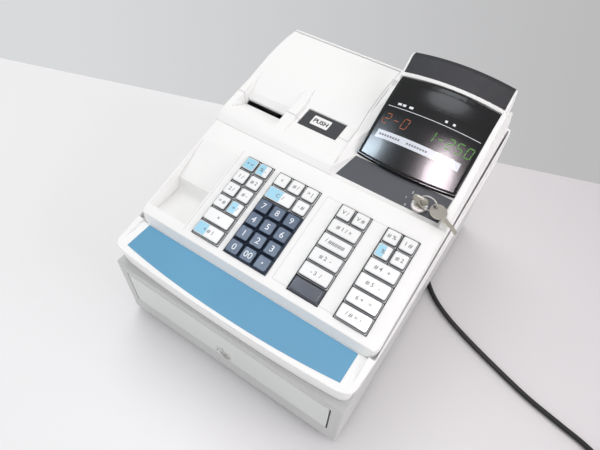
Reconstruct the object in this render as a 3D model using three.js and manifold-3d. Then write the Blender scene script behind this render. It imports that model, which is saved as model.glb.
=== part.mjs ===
// Electronic cash register on a steel cash drawer: sloped key deck with a coin recess, printer cover
// with two valleys, bulging operator display, pop-up customer display, locks and a coiled mains cord.
// While it is being made, x runs across from the middle, y back from the front face, z up from the table.
import * as THREE from 'three';
import { mergeVertices } from 'three/addons/utils/BufferGeometryUtils.js';
import Module from 'manifold-3d';

const wasm = await Module();
wasm.setup();

// Overall sizes, mm
const overallDepth = 395;
const caseHalf = 160;
const cabinetInset = 4;
const cabinetHalf = caseHalf - cabinetInset;
const footHeight = 9;
const cabinetHeight = 100.6;
const cabinetTop = footHeight + cabinetHeight;
const looseGap = 0.3;
const overrun = 60;
const weldDistance = 0.0001;

// Counts of facets
const cornerSteps = 3;
const roundSides = 28;
const smallSides = 16;

// Geometry helpers

function asSolid(geometry) {
  geometry.deleteAttribute('normal');
  geometry.deleteAttribute('uv');
  const merged = mergeVertices(geometry, weldDistance);
  const mesh = new wasm.Mesh({
    numProp: 3,
    vertProperties: Float32Array.from(merged.attributes.position.array),
    triVerts: Uint32Array.from(merged.index.array),
  });
  return new wasm.Manifold(mesh);
}

function asGeometry(solid) {
  const mesh = solid.getMesh();
  const geometry = new THREE.BufferGeometry();
  geometry.setAttribute('position', new THREE.BufferAttribute(Float32Array.from(mesh.vertProperties), 3));
  geometry.setIndex(Array.from(mesh.triVerts));
  geometry.computeVertexNormals();
  return geometry;
}

function shapeOf(outline) {
  return new THREE.Shape(outline.map(([a, b]) => new THREE.Vector2(a, b)));
}

function extrude(outline, length) {
  return new THREE.ExtrudeGeometry(shapeOf(outline), { depth: length, bevelEnabled: false, steps: 1 });
}

const unitX = new THREE.Vector3(1, 0, 0);
const unitY = new THREE.Vector3(0, 1, 0);
const unitZ = new THREE.Vector3(0, 0, 1);

// A [y, z] outline carried across from x0 to x1
function prismX(outline, x0, x1) {
  const geometry = extrude(outline, x1 - x0);
  geometry.applyMatrix4(new THREE.Matrix4().makeBasis(unitY, unitZ, unitX));
  geometry.translate(x0, 0, 0);
  return asSolid(geometry);
}

// An [x, z] outline carried back from y0 to y1
function prismY(outline, y0, y1) {
  const geometry = extrude(outline, y1 - y0);
  geometry.applyMatrix4(new THREE.Matrix4().makeBasis(unitX, unitZ, unitY.clone().negate()));
  geometry.translate(0, y1, 0);
  return asSolid(geometry);
}

// An [x, y] outline carried up from z0 to z1
function prismZ(outline, z0, z1) {
  const geometry = extrude(outline, z1 - z0);
  geometry.translate(0, 0, z0);
  return asSolid(geometry);
}

function block(x0, x1, y0, y1, z0, z1) {
  const geometry = new THREE.BoxGeometry(x1 - x0, y1 - y0, z1 - z0);
  geometry.translate((x0 + x1) / 2, (y0 + y1) / 2, (z0 + z1) / 2);
  return asSolid(geometry);
}

function circle(cx, cy, radius, sides) {
  return Array.from({ length: sides }, (_, i) => {
    const turn = (2 * Math.PI * i) / sides;
    return [cx + radius * Math.cos(turn), cy + radius * Math.sin(turn)];
  });
}

function roundedRect(x0, x1, y0, y1, radius) {
  const corners = [[x1 - radius, y1 - radius], [x0 + radius, y1 - radius], [x0 + radius, y0 + radius],
    [x1 - radius, y0 + radius]];
  const points = [];
  corners.forEach(([cx, cy], quarter) => {
    for (let i = 0; i < cornerSteps; i += 1) {
      const turn = (quarter + i / (cornerSteps - 1)) * (Math.PI / 2);
      points.push([cx + radius * Math.cos(turn), cy + radius * Math.sin(turn)]);
    }
  });
  return points;
}

function signedArea(outline) {
  return outline.reduce((sum, [a, b], i) => {
    const [c, d] = outline[(i + 1) % outline.length];
    return sum + (a * d - c * b) / 2;
  }, 0);
}

// Moves every side of a plain outline outward by the distance, inward when it is negative
function offset(outline, distance) {
  const side = Math.sign(signedArea(outline));
  const count = outline.length;
  const lines = outline.map(([a, b], i) => {
    const [c, d] = outline[(i + 1) % count];
    const length = Math.hypot(c - a, d - b);
    const normal = [(side * (d - b)) / length, (-side * (c - a)) / length];
    return {
      at: [a + normal[0] * distance, b + normal[1] * distance],
      along: [(c - a) / length, (d - b) / length],
    };
  });
  return lines.map((line, i) => {
    const before = lines[(i + count - 1) % count];
    const cross = before.along[0] * line.along[1] - before.along[1] * line.along[0];
    if (Math.abs(cross) < weldDistance) return line.at;
    const gap = [line.at[0] - before.at[0], line.at[1] - before.at[1]];
    const run = (gap[0] * line.along[1] - gap[1] * line.along[0]) / cross;
    return [before.at[0] + before.along[0] * run, before.at[1] + before.along[1] * run];
  });
}

// A closed skin through rings of equal count; the two named axes are those that the end rings lie in
function loft(rings, axisA, axisB) {
  const count = rings[0].length;
  const flat = rings[0].map((p) => [p[axisA], p[axisB]]);
  const cap = THREE.ShapeUtils.triangulateShape(flat.map(([a, b]) => new THREE.Vector2(a, b)), []);
  const capArea = cap.reduce((sum, face) => sum + signedArea(face.map((i) => flat[i])), 0);
  const agrees = Math.sign(capArea) === Math.sign(signedArea(flat));
  const faces = [];
  cap.forEach(([a, b, c]) => {
    const last = (rings.length - 1) * count;
    const [p, q] = agrees ? [b, c] : [c, b];
    faces.push([a, q, p], [last + a, last + p, last + q]);
  });
  for (let k = 0; k + 1 < rings.length; k += 1) {
    for (let i = 0; i < count; i += 1) {
      const a = k * count + i;
      const b = k * count + ((i + 1) % count);
      faces.push([a, b, b + count], [a, b + count, a + count]);
    }
  }
  const points = rings.flat();
  const volume = faces.reduce((sum, [a, b, c]) => {
    const [p, q, r] = [points[a], points[b], points[c]].map((v) => new THREE.Vector3(...v));
    return sum + p.dot(q.cross(r));
  }, 0);
  const geometry = new THREE.BufferGeometry();
  geometry.setAttribute('position', new THREE.BufferAttribute(Float32Array.from(points.flat()), 3));
  geometry.setIndex(faces.flatMap(([a, b, c]) => (volume > 0 ? [a, b, c] : [a, c, b])));
  return asSolid(geometry);
}

// A closed curve turned about an axis along y: profile points are [radius, y]
function turnedY(profile, cx, cz, sides) {
  const geometry = new THREE.LatheGeometry(profile.map(([r, y]) => new THREE.Vector2(r, y)), sides);
  geometry.translate(cx, 0, cz);
  return asSolid(geometry);
}

function bezier(from, control, to, steps) {
  return Array.from({ length: steps + 1 }, (_, i) => {
    const t = i / steps;
    const s = 1 - t;
    return [0, 1].map((k) => s * s * from[k] + 2 * s * t * control[k] + t * t * to[k]);
  });
}

// Height of a [y, z] line at y
function heightOn(line, y) {
  const next = Math.min(Math.max(line.findIndex((p) => p[0] > y), 1), line.length - 1);
  const [[a, b], [c, d]] = [line[next - 1], line[next]];
  return b + ((d - b) * (y - a)) / (c - a);
}

// The stretch of a [y, z] line between two depths, its ends cut on the line
function stretch(line, from, to) {
  const inside = line.filter((p) => p[0] > from && p[0] < to);
  return [[from, heightOn(line, from)], ...inside, [to, heightOn(line, to)]];
}

const lowered = (line, drop) => line.map(([y, z]) => [y, z - drop]);

const group = new THREE.Group();
group.name = 'ticket_register';

function addPiece(name, form, colour, roughness, metalness) {
  const geometry = form.getMesh ? asGeometry(form) : form;
  geometry.translate(0, -overallDepth / 2, 0);
  const material = new THREE.MeshStandardMaterial({ color: colour, roughness, metalness });
  const mesh = new THREE.Mesh(geometry, material);
  mesh.name = name;
  group.add(mesh);
}

// Cash drawer cabinet
const cabinet = {
  sheet: 1.5, edgeRadius: 3, mouthInset: 13.2, mouthBottom: 36.6, mouthTop: 96.7,
  footRadius: 11, footInset: 24,
  railHeight: 50, railReach: 18, railRise: 6, railSetback: 14,
};
const cabinetInside = cabinetHalf - cabinet.sheet;
const mouthHalf = cabinetHalf - cabinet.mouthInset;
const railInner = cabinetInside - cabinet.railReach;
{
  const { sheet, edgeRadius } = cabinet;
  const plan = roundedRect(-cabinetHalf, cabinetHalf, 0, overallDepth, edgeRadius);
  const outer = prismZ(plan, footHeight, cabinetTop);
  const inner = prismZ(
    roundedRect(-cabinetInside, cabinetInside, sheet, overallDepth - sheet, edgeRadius - sheet),
    footHeight + sheet,
    cabinetTop - sheet,
  );
  const mouth = block(
    -mouthHalf, mouthHalf, -overrun, sheet + edgeRadius, cabinet.mouthBottom, cabinet.mouthTop,
  );
  let solid = outer.subtract(inner).subtract(mouth);
  const railBack = overallDepth - sheet;
  // Folded channel on each side wall: a ledge below and one above the drawer's runner
  const ledgeTop = cabinet.railHeight + sheet;
  const guideBottom = ledgeTop + cabinet.railRise;
  for (const side of [-1, 1]) {
    const xs = [side * railInner, side * (cabinetInside + sheet / 2)].sort((a, b) => a - b);
    for (const z of [cabinet.railHeight, guideBottom]) {
      solid = solid.add(block(...xs, cabinet.railSetback, railBack + sheet / 2, z, z + sheet));
    }
    for (const y of [cabinet.footInset, overallDepth - cabinet.footInset]) {
      const foot = circle(side * (cabinetHalf - cabinet.footInset), y, cabinet.footRadius, smallSides);
      solid = solid.add(prismZ(foot, 0, footHeight + sheet / 2));
    }
  }
  addPiece('cabinet', solid, '#c9cbc6', 0.5, 0.2);
}

// Sliding drawer
const drawer = {
  sideGap: 1.8, frontBottom: 37.3, frontTop: 96, frontReturn: 12, frontRadius: 1.5, sheet: 1.2,
  boxInset: 9, boxBottom: 39, boxTop: 86, rearSpace: 43, boxFront: 13.5,
  runnerHeight: 1.5, runnerSetback: 20, strutAt: 90, strutHalf: 9,
};
const drawerHalf = mouthHalf - drawer.sideGap;
const boxHalf = drawerHalf - drawer.boxInset;
const boxBack = overallDepth - drawer.rearSpace;
const drawerLock = {
  x: 2, z: 49, radius: 5.5, length: 11.5, slotWide: 1.6, slotHigh: 7.5, slotDeep: 6,
  camLength: 11, camWide: 7, camRadius: 1.75, camThick: 2,
};
{
  const { sheet, strutAt, strutHalf } = drawer;
  const face = roundedRect(-drawerHalf, drawerHalf, drawer.frontBottom, drawer.frontTop, drawer.frontRadius);
  const faceInner = offset(face, -sheet);
  let solid = prismY(face, 0, drawer.frontReturn).subtract(prismY(faceInner, sheet, overrun));
  const tub = block(-boxHalf, boxHalf, drawer.boxFront, boxBack, drawer.boxBottom, drawer.boxTop);
  const tubInner = block(
    -boxHalf + sheet, boxHalf - sheet, drawer.boxFront + sheet, boxBack - sheet, drawer.boxBottom + sheet,
    drawer.boxTop + overrun,
  );
  solid = solid.add(tub.subtract(tubInner));
  // Two upright struts tie the pressed front to the tub
  for (const side of [-1, 1]) {
    solid = solid.add(block(
      side * strutAt - strutHalf, side * strutAt + strutHalf, sheet / 2, drawer.boxFront + sheet / 2,
      drawer.boxBottom, drawer.boxTop,
    ));
    // Runner that slides on the cabinet's ledge
    const xs = [side * (boxHalf - sheet / 2), side * (drawerHalf - looseGap)].sort((a, b) => a - b);
    const z = cabinet.railHeight + cabinet.sheet + looseGap;
    solid = solid.add(block(...xs, drawer.runnerSetback, boxBack, z, z + drawer.runnerHeight));
  }
  const lockHole = circle(drawerLock.x, drawerLock.z, drawerLock.radius + looseGap, roundSides);
  solid = solid.subtract(prismY(lockHole, -overrun, drawer.boxFront - sheet));
  addPiece('drawer', solid, '#d3d3cd', 0.5, 0.2);
}
{
  const barrel = circle(drawerLock.x, drawerLock.z, drawerLock.radius, roundSides);
  const { slotWide, slotHigh, camWide } = drawerLock;
  const slot = block(
    drawerLock.x - slotWide / 2, drawerLock.x + slotWide / 2, -overrun, drawerLock.slotDeep,
    drawerLock.z - slotHigh / 2, drawerLock.z + slotHigh / 2,
  );
  const cam = roundedRect(
    drawerLock.x - camWide / 2, drawerLock.x + camWide / 2, drawerLock.z - camWide / 2,
    drawerLock.z + drawerLock.camLength, drawerLock.camRadius,
  );
  const solid = prismY(barrel, 0, drawerLock.length)
    .add(prismY(cam, drawerLock.length - drawerLock.camThick, drawerLock.length))
    .subtract(slot);
  addPiece('drawer_lock', solid, '#9a9a96', 0.3, 0.9);
}

// Coin and note tray
const tray = {
  wall: 2, height: 40, coinLong: 82, rearSpace: 63.5, coinCount: 6, noteCount: 3,
  scoopShare: 0.8, scoopSteps: 5,
};
{
  const half = boxHalf - drawer.sheet - looseGap;
  const front = drawer.boxFront + drawer.sheet + looseGap;
  const bottom = drawer.boxBottom + drawer.sheet + looseGap;
  const top = bottom + tray.height;
  const coinBack = front + tray.wall + tray.coinLong;
  const back = boxBack - drawer.sheet - tray.rearSpace;
  let solid = block(-half, half, front, back, bottom, top);
  // Coin cups with a scooped front and back
  const cupFront = front + tray.wall;
  const floor = bottom + tray.wall;
  const scoop = tray.height * tray.scoopShare;
  const cup = [
    [cupFront, top + overrun],
    ...bezier([cupFront, floor + scoop], [cupFront, floor], [cupFront + scoop, floor], tray.scoopSteps),
    ...bezier([coinBack - scoop, floor], [coinBack, floor], [coinBack, floor + scoop], tray.scoopSteps),
    [coinBack, top + overrun],
  ];
  const pockets = (count, cut) => {
    const wide = (2 * half - (count + 1) * tray.wall) / count;
    for (let i = 0; i < count; i += 1) {
      const x = -half + tray.wall + i * (wide + tray.wall);
      solid = solid.subtract(cut(x, x + wide));
    }
  };
  pockets(tray.coinCount, (x0, x1) => prismX(cup, x0, x1));
  pockets(tray.noteCount, (x0, x1) => block(
    x0, x1, coinBack + tray.wall, back - tray.wall, floor, top + overrun,
  ));
  addPiece('coin_tray', solid, '#4a4b4c', 0.6, 0);
}

// Lower case: a shelf in front, then walls whose rim climbs to the rear
const base = {
  shelfZ: 140, rimFront: 20, rearRise: 55, wall: 3, edge: 1.2, ledgeZ: 137, draft: 4, rearRadius: 6,
  frontInset: 22, bow: 4, bowPower: 2.5, cornerInset: 2.5, cornerBack: 20, frontPull: 13, sidePull: 11,
  bulgeInset: 0.4, bulgeBack: 55, fullBack: 100, marginInset: 9,
  seatInset: 2.2, seatFront: 49.2, openInset: 15, openFront: 60, bowSteps: 5, cornerSteps: 5, bulgeSteps: 3,
};
const rimRearZ = base.shelfZ + base.rearRise;
const baseBottom = cabinetTop + looseGap;
const openBack = overallDepth - base.openInset;
const reliefAt = { x: 77, z: 124, neck: 4.7 };

// Outline of the lower case seen from above: bowed front, tight corners and nearly straight sides
function baseOutline() {
  const bowHalf = caseHalf - base.frontInset;
  const right = Array.from({ length: base.bowSteps + 1 }, (_, i) => {
    const share = i / base.bowSteps;
    return [bowHalf * share, base.bow * share ** base.bowPower];
  });
  const cornerX = caseHalf - base.cornerInset;
  const slope = (base.bow * base.bowPower) / bowHalf;
  const corner = new THREE.CubicBezierCurve(
    new THREE.Vector2(bowHalf, base.bow),
    new THREE.Vector2(bowHalf + base.frontPull, base.bow + base.frontPull * slope),
    new THREE.Vector2(cornerX, base.cornerBack - base.sidePull),
    new THREE.Vector2(cornerX, base.cornerBack),
  );
  corner.getPoints(base.cornerSteps).slice(1).forEach((p) => right.push([p.x, p.y]));
  const bulge = [caseHalf - base.bulgeInset, base.bulgeBack];
  const side = bezier([cornerX, base.cornerBack], bulge, [caseHalf, base.fullBack], base.bulgeSteps);
  right.push(...side.slice(1));
  const rear = overallDepth - base.rearRadius;
  for (let i = 0; i < cornerSteps; i += 1) {
    const turn = ((i / (cornerSteps - 1)) * Math.PI) / 2;
    right.push([caseHalf - base.rearRadius * (1 - Math.cos(turn)), rear + base.rearRadius * Math.sin(turn)]);
  }
  const left = right.slice(1).reverse().map(([x, y]) => [-x, y]);
  return [...right, ...left];
}
{
  const outline = baseOutline();
  const skin = (inset, z) => offset(outline, -inset).map(([x, y]) => [x, y, z]);
  const { edge, wall, draft, shelfZ, ledgeZ } = base;
  const rings = [
    skin(draft, baseBottom), skin(edge, shelfZ - wall - edge), skin(0, shelfZ - wall), skin(0, rimRearZ + wall),
  ];
  const inner = [skin(draft + wall, baseBottom - wall), skin(edge + wall, ledgeZ - wall)];
  const marginHalf = caseHalf - base.marginInset;
  const seatHalf = caseHalf - base.seatInset;
  const openHalf = caseHalf - base.openInset;
  const aboveRim = prismX([
    [-overrun, shelfZ], [base.rimFront, shelfZ], [overallDepth, rimRearZ], [overallDepth + overrun, rimRearZ],
    [overallDepth + overrun, rimRearZ + overrun], [-overrun, rimRearZ + overrun],
  ], -caseHalf - overrun, caseHalf + overrun);
  const shelf = block(-marginHalf, marginHalf, 0, base.seatFront, shelfZ, rimRearZ + overrun);
  const seat = block(-seatHalf, seatHalf, base.seatFront, overallDepth - wall - edge, ledgeZ, rimRearZ + overrun);
  const open = block(-openHalf, openHalf, base.openFront, openBack, footHeight, shelfZ);
  const reliefHole = prismY(
    circle(reliefAt.x, reliefAt.z, reliefAt.neck + looseGap, smallSides), openBack, overallDepth + overrun,
  );
  const solid = loft(rings, 0, 1).subtract(loft(inner, 0, 1)).subtract(aboveRim).subtract(shelf).subtract(seat)
    .subtract(open).subtract(reliefHole);
  addPiece('base_case', solid, '#e9e8e0', 0.45, 0);
}

// Key deck
const deckAngle = 0.27847;
const deckOrigin = { y: 71.2, z: 156.27 };
const deckZ = (y) => deckOrigin.z + (y - deckOrigin.y) * Math.tan(deckAngle);
const deck = {
  sideGap: 0.3, back: 196, riserRun: 3.8, riserZ: 151.2, topRun: 1.2,
  cornerRadius: 12, cornerSteps: 5, draft: 2, wall: 2.7, wellDepth: 10, wellWall: 1.5, wellMargin: 0.4,
};
const deckHalf = caseHalf - base.seatInset - deck.sideGap;
const deckFront = base.seatFront + looseGap;
const riserTop = deckFront + deck.riserRun;
const topFront = riserTop + deck.topRun;
const deckBottom = base.ledgeZ + looseGap;
const deckFrame = new THREE.Matrix4().makeRotationX(deckAngle).setPosition(0, deckOrigin.y, deckOrigin.z);

// From the deck's own frame (x across, v up the slope, n off its face) to the case
function onDeck(solid) {
  const geometry = asGeometry(solid);
  geometry.applyMatrix4(deckFrame);
  return asSolid(geometry);
}

const keys = {
  pitch: 19, gap: 1, rows: 6, rise: 3.6, sink: 5.5, taper: 2, topTaper: 2.6, topDrop: 0.5, skirt: 4,
  baseRadius: 1.2, topRadius: 2, stem: 5, stemBelow: 3.5,
};
const columnOf = (first, count) => Array.from({ length: count }, (_, i) => first + i * keys.pitch);
const firstColumn = { a: -76.5, b: -30.5, c: 54, d: 111 };
const columns = {
  a: columnOf(firstColumn.a, 2), b: columnOf(firstColumn.b, 3), c: columnOf(firstColumn.c, 2),
  d: columnOf(firstColumn.d, 2),
};
const rowAt = (row) => (keys.rows - row) * keys.pitch;

function keyRing(wide, long, inset, radius, n) {
  return roundedRect(-wide / 2 + inset, wide / 2 - inset, -long / 2 + inset, long / 2 - inset, radius)
    .map(([x, v]) => [x, v, n]);
}

// Tapered cap over a straight skirt, with a square stem below
function keySolid(span, bottom) {
  const wide = keys.pitch * span - keys.gap;
  const long = keys.pitch - keys.gap;
  const cap = loft([
    keyRing(wide, long, 0, keys.baseRadius, -keys.sink),
    keyRing(wide, long, 0, keys.baseRadius, keys.rise - keys.skirt),
    keyRing(wide, long, keys.taper, keys.topRadius, keys.rise - keys.topDrop),
    keyRing(wide, long, keys.topTaper, keys.topRadius, keys.rise),
  ], 0, 1);
  const half = keys.stem / 2;
  return cap.add(block(-half, half, -half, half, bottom, -keys.sink / 2));
}

function shifted(solid, x, y, z) {
  const geometry = asGeometry(solid);
  geometry.translate(x, y, z);
  return asSolid(geometry);
}

// Every key: name, centre across, row, width in pitches
const middle = (list, i) => (list[i] + list[i + 1]) / 2;
const keyList = [];
for (let row = 1; row <= keys.rows; row += 1) {
  const { a, b, c, d } = columns;
  if (row <= 4) {
    a.forEach((x, i) => keyList.push([`key_a${row}_${i + 1}`, x, row, 1]));
  } else {
    keyList.push([`key_a${row}`, middle(a, 0), row, 2]);
  }
  if (row === 2) {
    keyList.push([`key_b${row}_1`, middle(b, 0), row, 2], [`key_b${row}_3`, b[2], row, 1]);
  } else {
    b.forEach((x, i) => keyList.push([`key_b${row}_${i + 1}`, x, row, 1]));
  }
  if (row === 1) {
    c.forEach((x, i) => keyList.push([`key_c${row}_${i + 1}`, x, row, 1]));
  } else if (row < keys.rows) {
    keyList.push([`key_c${row}`, middle(c, 0), row, 2]);
  }
  if (row <= 2) {
    d.forEach((x, i) => keyList.push([`key_d${row}_${i + 1}`, x, row, 1]));
  } else {
    keyList.push([`key_d${row}`, middle(d, 0), row, 2]);
  }
}

const coinRecess = {
  sideMargin: 4.5, right: -99, front: 66, floorBack: 104, stepY: 115.5, stepZ: 158, back: 167,
};
{
  const { wall } = deck;
  const plan = (inset, z) => {
    const half = deckHalf - inset;
    const radius = deck.cornerRadius;
    const front = deckFront + inset;
    const corner = (side) => Array.from({ length: deck.cornerSteps }, (_, i) => {
      const turn = ((i / (deck.cornerSteps - 1)) * Math.PI) / 2;
      return [side * (half - radius + radius * Math.sin(turn)), front + radius - radius * Math.cos(turn), z];
    });
    return [...corner(1), [half, deck.back, z], [-half, deck.back, z], ...corner(-1).reverse()];
  };
  const backZ = deckZ(deck.back);
  const profile = [
    [deckFront, deckBottom], [deckFront, base.shelfZ], [riserTop, deck.riserZ], [topFront, deckZ(topFront)],
    [deck.back, backZ], [deck.back, deckBottom],
  ];
  const body = loft([plan(0, deckBottom), plan(deck.draft, backZ + wall)], 0, 1)
    .intersect(prismX(profile, -caseHalf, caseHalf));
  const hollowBack = deck.back - wall;
  const hollowProfile = [
    [deckFront + wall, deckBottom - overrun], [deckFront + wall, base.shelfZ],
    [riserTop + wall, deck.riserZ - wall], [hollowBack, deckZ(hollowBack) - wall / Math.cos(deckAngle)],
    [hollowBack, deckBottom - overrun],
  ];
  const innerPlan = (z) => plan(wall + deck.draft, z).map(([x, y]) => [x, Math.min(y, hollowBack), z]);
  const recessProfile = [
    [coinRecess.front, base.shelfZ],
    ...bezier([coinRecess.floorBack, base.shelfZ], [coinRecess.stepY, base.shelfZ],
      [coinRecess.stepY, coinRecess.stepZ], deck.cornerSteps),
    [coinRecess.back, deckZ(coinRecess.back)], [coinRecess.back, backZ + overrun],
    [coinRecess.front, backZ + overrun],
  ];
  const recessLeft = -deckHalf + coinRecess.sideMargin;
  const recess = prismX(recessProfile, recessLeft, coinRecess.right);
  const recessSkin = prismX(offset(recessProfile, wall), recessLeft - wall, coinRecess.right + wall);
  const hollow = loft([innerPlan(deckBottom - wall), innerPlan(backZ)], 0, 1)
    .intersect(prismX(hollowProfile, -caseHalf, caseHalf))
    .subtract(recessSkin);
  let solid = body.subtract(hollow).subtract(recess);
  // Key wells hang below the deck, with square guides in their floors
  const { wellMargin, wellWall, wellDepth } = deck;
  const vFront = -keys.pitch / 2 - wellMargin;
  const vBack = rowAt(1) + keys.pitch / 2 + wellMargin;
  for (const list of Object.values(columns)) {
    const x0 = list[0] - keys.pitch / 2 - wellMargin;
    const x1 = list[list.length - 1] + keys.pitch / 2 + wellMargin;
    const cup = block(
      x0 - wellWall, x1 + wellWall, vFront - wellWall, vBack + wellWall, -wellDepth - wellWall, -wall / 2,
    );
    const well = block(x0, x1, vFront, vBack, -wellDepth, overrun);
    solid = solid.add(onDeck(cup)).subtract(onDeck(well));
  }
  const guide = keys.stem / 2 + looseGap;
  const guides = keyList.map(([, x, row]) => {
    const v = rowAt(row);
    return block(x - guide, x + guide, v - guide, v + guide, -overrun, 0);
  });
  solid = solid.subtract(onDeck(guides.reduce((all, hole) => all.add(hole))));
  // Blank cap fixed in the front place of the third block
  const blank = keySolid(2, -wellDepth - wellWall / 2);
  solid = solid.add(onDeck(shifted(blank, middle(columns.c, 0), rowAt(keys.rows), 0)));
  addPiece('key_deck', solid, '#eceae2', 0.45, 0);
}
for (const [name, x, row, span] of keyList) {
  const solid = keySolid(span, -deck.wellDepth - deck.wellWall - keys.stemBelow);
  const dark = name.startsWith('key_b') && row > 2;
  addPiece(name, onDeck(shifted(solid, x, rowAt(row), 0)), dark ? '#4a5a72' : '#e6e7e4', 0.3, 0);
}

// Rear case, printer cover and display pod
const rear = {
  wall: 3, skin: 2.5, seamY: 244, seam: 0.6, coverBack: 372.5, hingeGap: 2.1, sideSeam: 0.4, podWall: 6.8,
  podLeft: 9.5, sideDrop: 8, floorZ: 150, bayFront: 214, footGap: 1.5, draftFrom: 150, draftTo: 245, draft: 4.8,
};
const rearHalf = deckHalf;
const rearFront = deck.back + looseGap;
const coverFront = rear.seamY + rear.seam;
const wallTop = rear.coverBack + rear.hingeGap;
const coverRight = rear.podWall - rear.sideSeam;
const rearBottom = base.ledgeZ + looseGap;
const bodyTop = [
  [rearFront, 191.9], [204, 197.6], [212, 201.7], [225, 203.9], [245, 208.2], [267, 212], [289, 218],
  [311, 223.6], [334.5, 227.6], [356, 229.3], [378, 229.6],
];
const rearFoot = overallDepth - base.wall - base.edge - rear.footGap;
const bodyProfile = (bottom) => [[rearFront, bottom], ...bodyTop, [rearFoot, rimRearZ], [rearFoot, bottom]];
// The receipt valley and the shallow button valley, from their front edge to their rear one
const receiptValley = { sideMargin: 9.5, right: -84, lean: 6 };
const receiptLeft = -rearHalf + receiptValley.sideMargin;
const receiptLine = [
  [217.5, 202.6], [240, 192], [246, 190], [251, 195], [258, 202], [278, 214], [292, 219.5],
];
const buttonValley = { left: -67, lean: 7 };
const buttonLine = [[217, 202.5], [244, 204.3], [266, 207], [294, 219.7]];
const valleyTop = 240;

function valley(line, [left, right], [leftLean, rightLean], grow) {
  const [first, last] = [line[0], line[line.length - 1]];
  const profile = offset([[first[0], valleyTop], ...line, [last[0], valleyTop]], grow);
  const low = Math.min(...line.map((p) => p[1]));
  const across = offset([
    [left, low], [right, low], [right + rightLean, valleyTop], [left - leftLean, valleyTop],
  ], grow);
  return prismX(profile, left - overrun, right + overrun)
    .intersect(prismY(across, first[0] - overrun, last[0] + overrun));
}
const receiptSides = [receiptLeft, receiptValley.right];
const receiptCut = (grow) => valley(receiptLine, receiptSides, [0, receiptValley.lean], grow);
const buttonSides = [buttonValley.left, rear.podLeft];
const buttonCut = (grow) => valley(buttonLine, buttonSides, [buttonValley.lean, 0], grow);

// Pop-up customer display: head, stem and the housing around it
const customer = {
  sideStep: 1.5, front: 345, floorZ: 240, lipHigh: 10.4, topFront: 363, topHigh: 24.2, topBack: 370, back: 374,
  frame: 2.8, frameStep: 0.7, frameLead: 1.4,
  stemHalf: 20, stemThick: 9, stemY: 362, stemBottom: 178, sleeve: 2.5, sleeveBottom: 170,
  windowHalf: 46, windowSink: 1.2, windowLow: 246, windowHigh: 260,
};
const headLipZ = customer.floorZ + customer.lipHigh;
const headTopZ = customer.floorZ + customer.topHigh;
const cutTop = headTopZ + overrun;

// Sunken pod on the right: sill, control strip and window seat
const pod = {
  stripLeft: 13.5, windowLeft: 23, sideMargin: 11, sideStep: 0.5,
  sillZ: 191.6, stripFront: 203, stripZ: 188.5, seatFront: 236, seatZ: 199, seatBack: 341, seatTopZ: 238,
};
const podRight = rearHalf - pod.sideMargin;
const windowRight = podRight - pod.sideStep;
const seatSlope = (pod.seatTopZ - pod.seatZ) / (pod.seatBack - pod.seatFront);
const seatHeight = (y) => pod.seatZ + (y - pod.seatFront) * seatSlope;
const podStations = [
  [rearFront, pod.stripLeft, pod.sillZ], [pod.stripFront, pod.stripLeft, pod.stripZ],
  [pod.seatFront, pod.windowLeft, pod.seatZ], [(pod.seatFront + pod.seatBack) / 2, pod.windowLeft, null],
  [pod.seatBack, pod.windowLeft, pod.seatTopZ],
];
function podCut(grow) {
  const rings = podStations.map(([y, left, z], i) => {
    const floor = (z ?? seatHeight(y)) - grow;
    const edgeZ = heightOn(bodyTop, y) - grow;
    const shift = i === 0 ? -overrun : (i === podStations.length - 1 ? grow : 0);
    const outline = [
      [left - grow, floor], [podRight + grow, floor], [podRight + grow, cutTop],
      [rear.podLeft - grow, cutTop], [rear.podLeft - grow, edgeZ],
    ];
    return outline.map(([x, height]) => [x, y + shift, height]);
  });
  return loft(rings, 0, 2);
}

// A [y, z] outline carried across while it rises to an arch in the middle
const arch = { rise: 6, bow: 5, steps: 12, sleeveShare: 0.66 };
function archedPrism(outline, x0, x1) {
  const rings = Array.from({ length: arch.steps + 1 }, (_, i) => {
    const x = x0 + ((x1 - x0) * i) / arch.steps;
    const share = 1 - Math.min(1, Math.abs(x - displayCentre) / housingHalf) ** 2;
    return outline.map(([y, z]) => [x, y, z + arch.rise * share]);
  });
  return loft(rings, 1, 2);
}

// Head, housing and window share the middle and width of the pod
const displayHalf = (podRight - pod.windowLeft + customer.sideStep) / 2;
const displayCentre = podRight - displayHalf;
const housingHalf = displayHalf + customer.frame;
const headProfile = [
  [customer.front, customer.floorZ], [customer.front, headLipZ], [customer.topFront, headTopZ],
  [customer.topBack, headTopZ], [customer.back, customer.floorZ],
];
const housingBack = { topY: 378, topZ: 246, footY: 384, footZ: 190 };
const housingProfile = [
  [pod.seatBack, pod.stripZ], [pod.seatBack, headLipZ - customer.frame],
  [customer.front - customer.frameLead, headLipZ - customer.frameStep],
  [customer.front + customer.frame, headLipZ + customer.frame],
  [customer.topFront, headTopZ - customer.frameStep],
  [customer.topBack, headTopZ - customer.frameStep],
  [housingBack.topY, housingBack.topZ], [housingBack.footY, housingBack.footZ],
];
const pocketProfile = [
  [customer.front - looseGap, customer.floorZ - looseGap], [customer.front - looseGap, cutTop],
  [customer.back + overrun, cutTop], [customer.back + overrun, customer.floorZ - looseGap],
];
const cheekTop = [
  [rearFront, 192], [203, 196], [218, 201], [236, 209], [262, 222.5], [290, 237], [310, 246], [326, 250.5],
  [337, 251.5], [345, 248], [358, 238], [372, 228],
];

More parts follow.
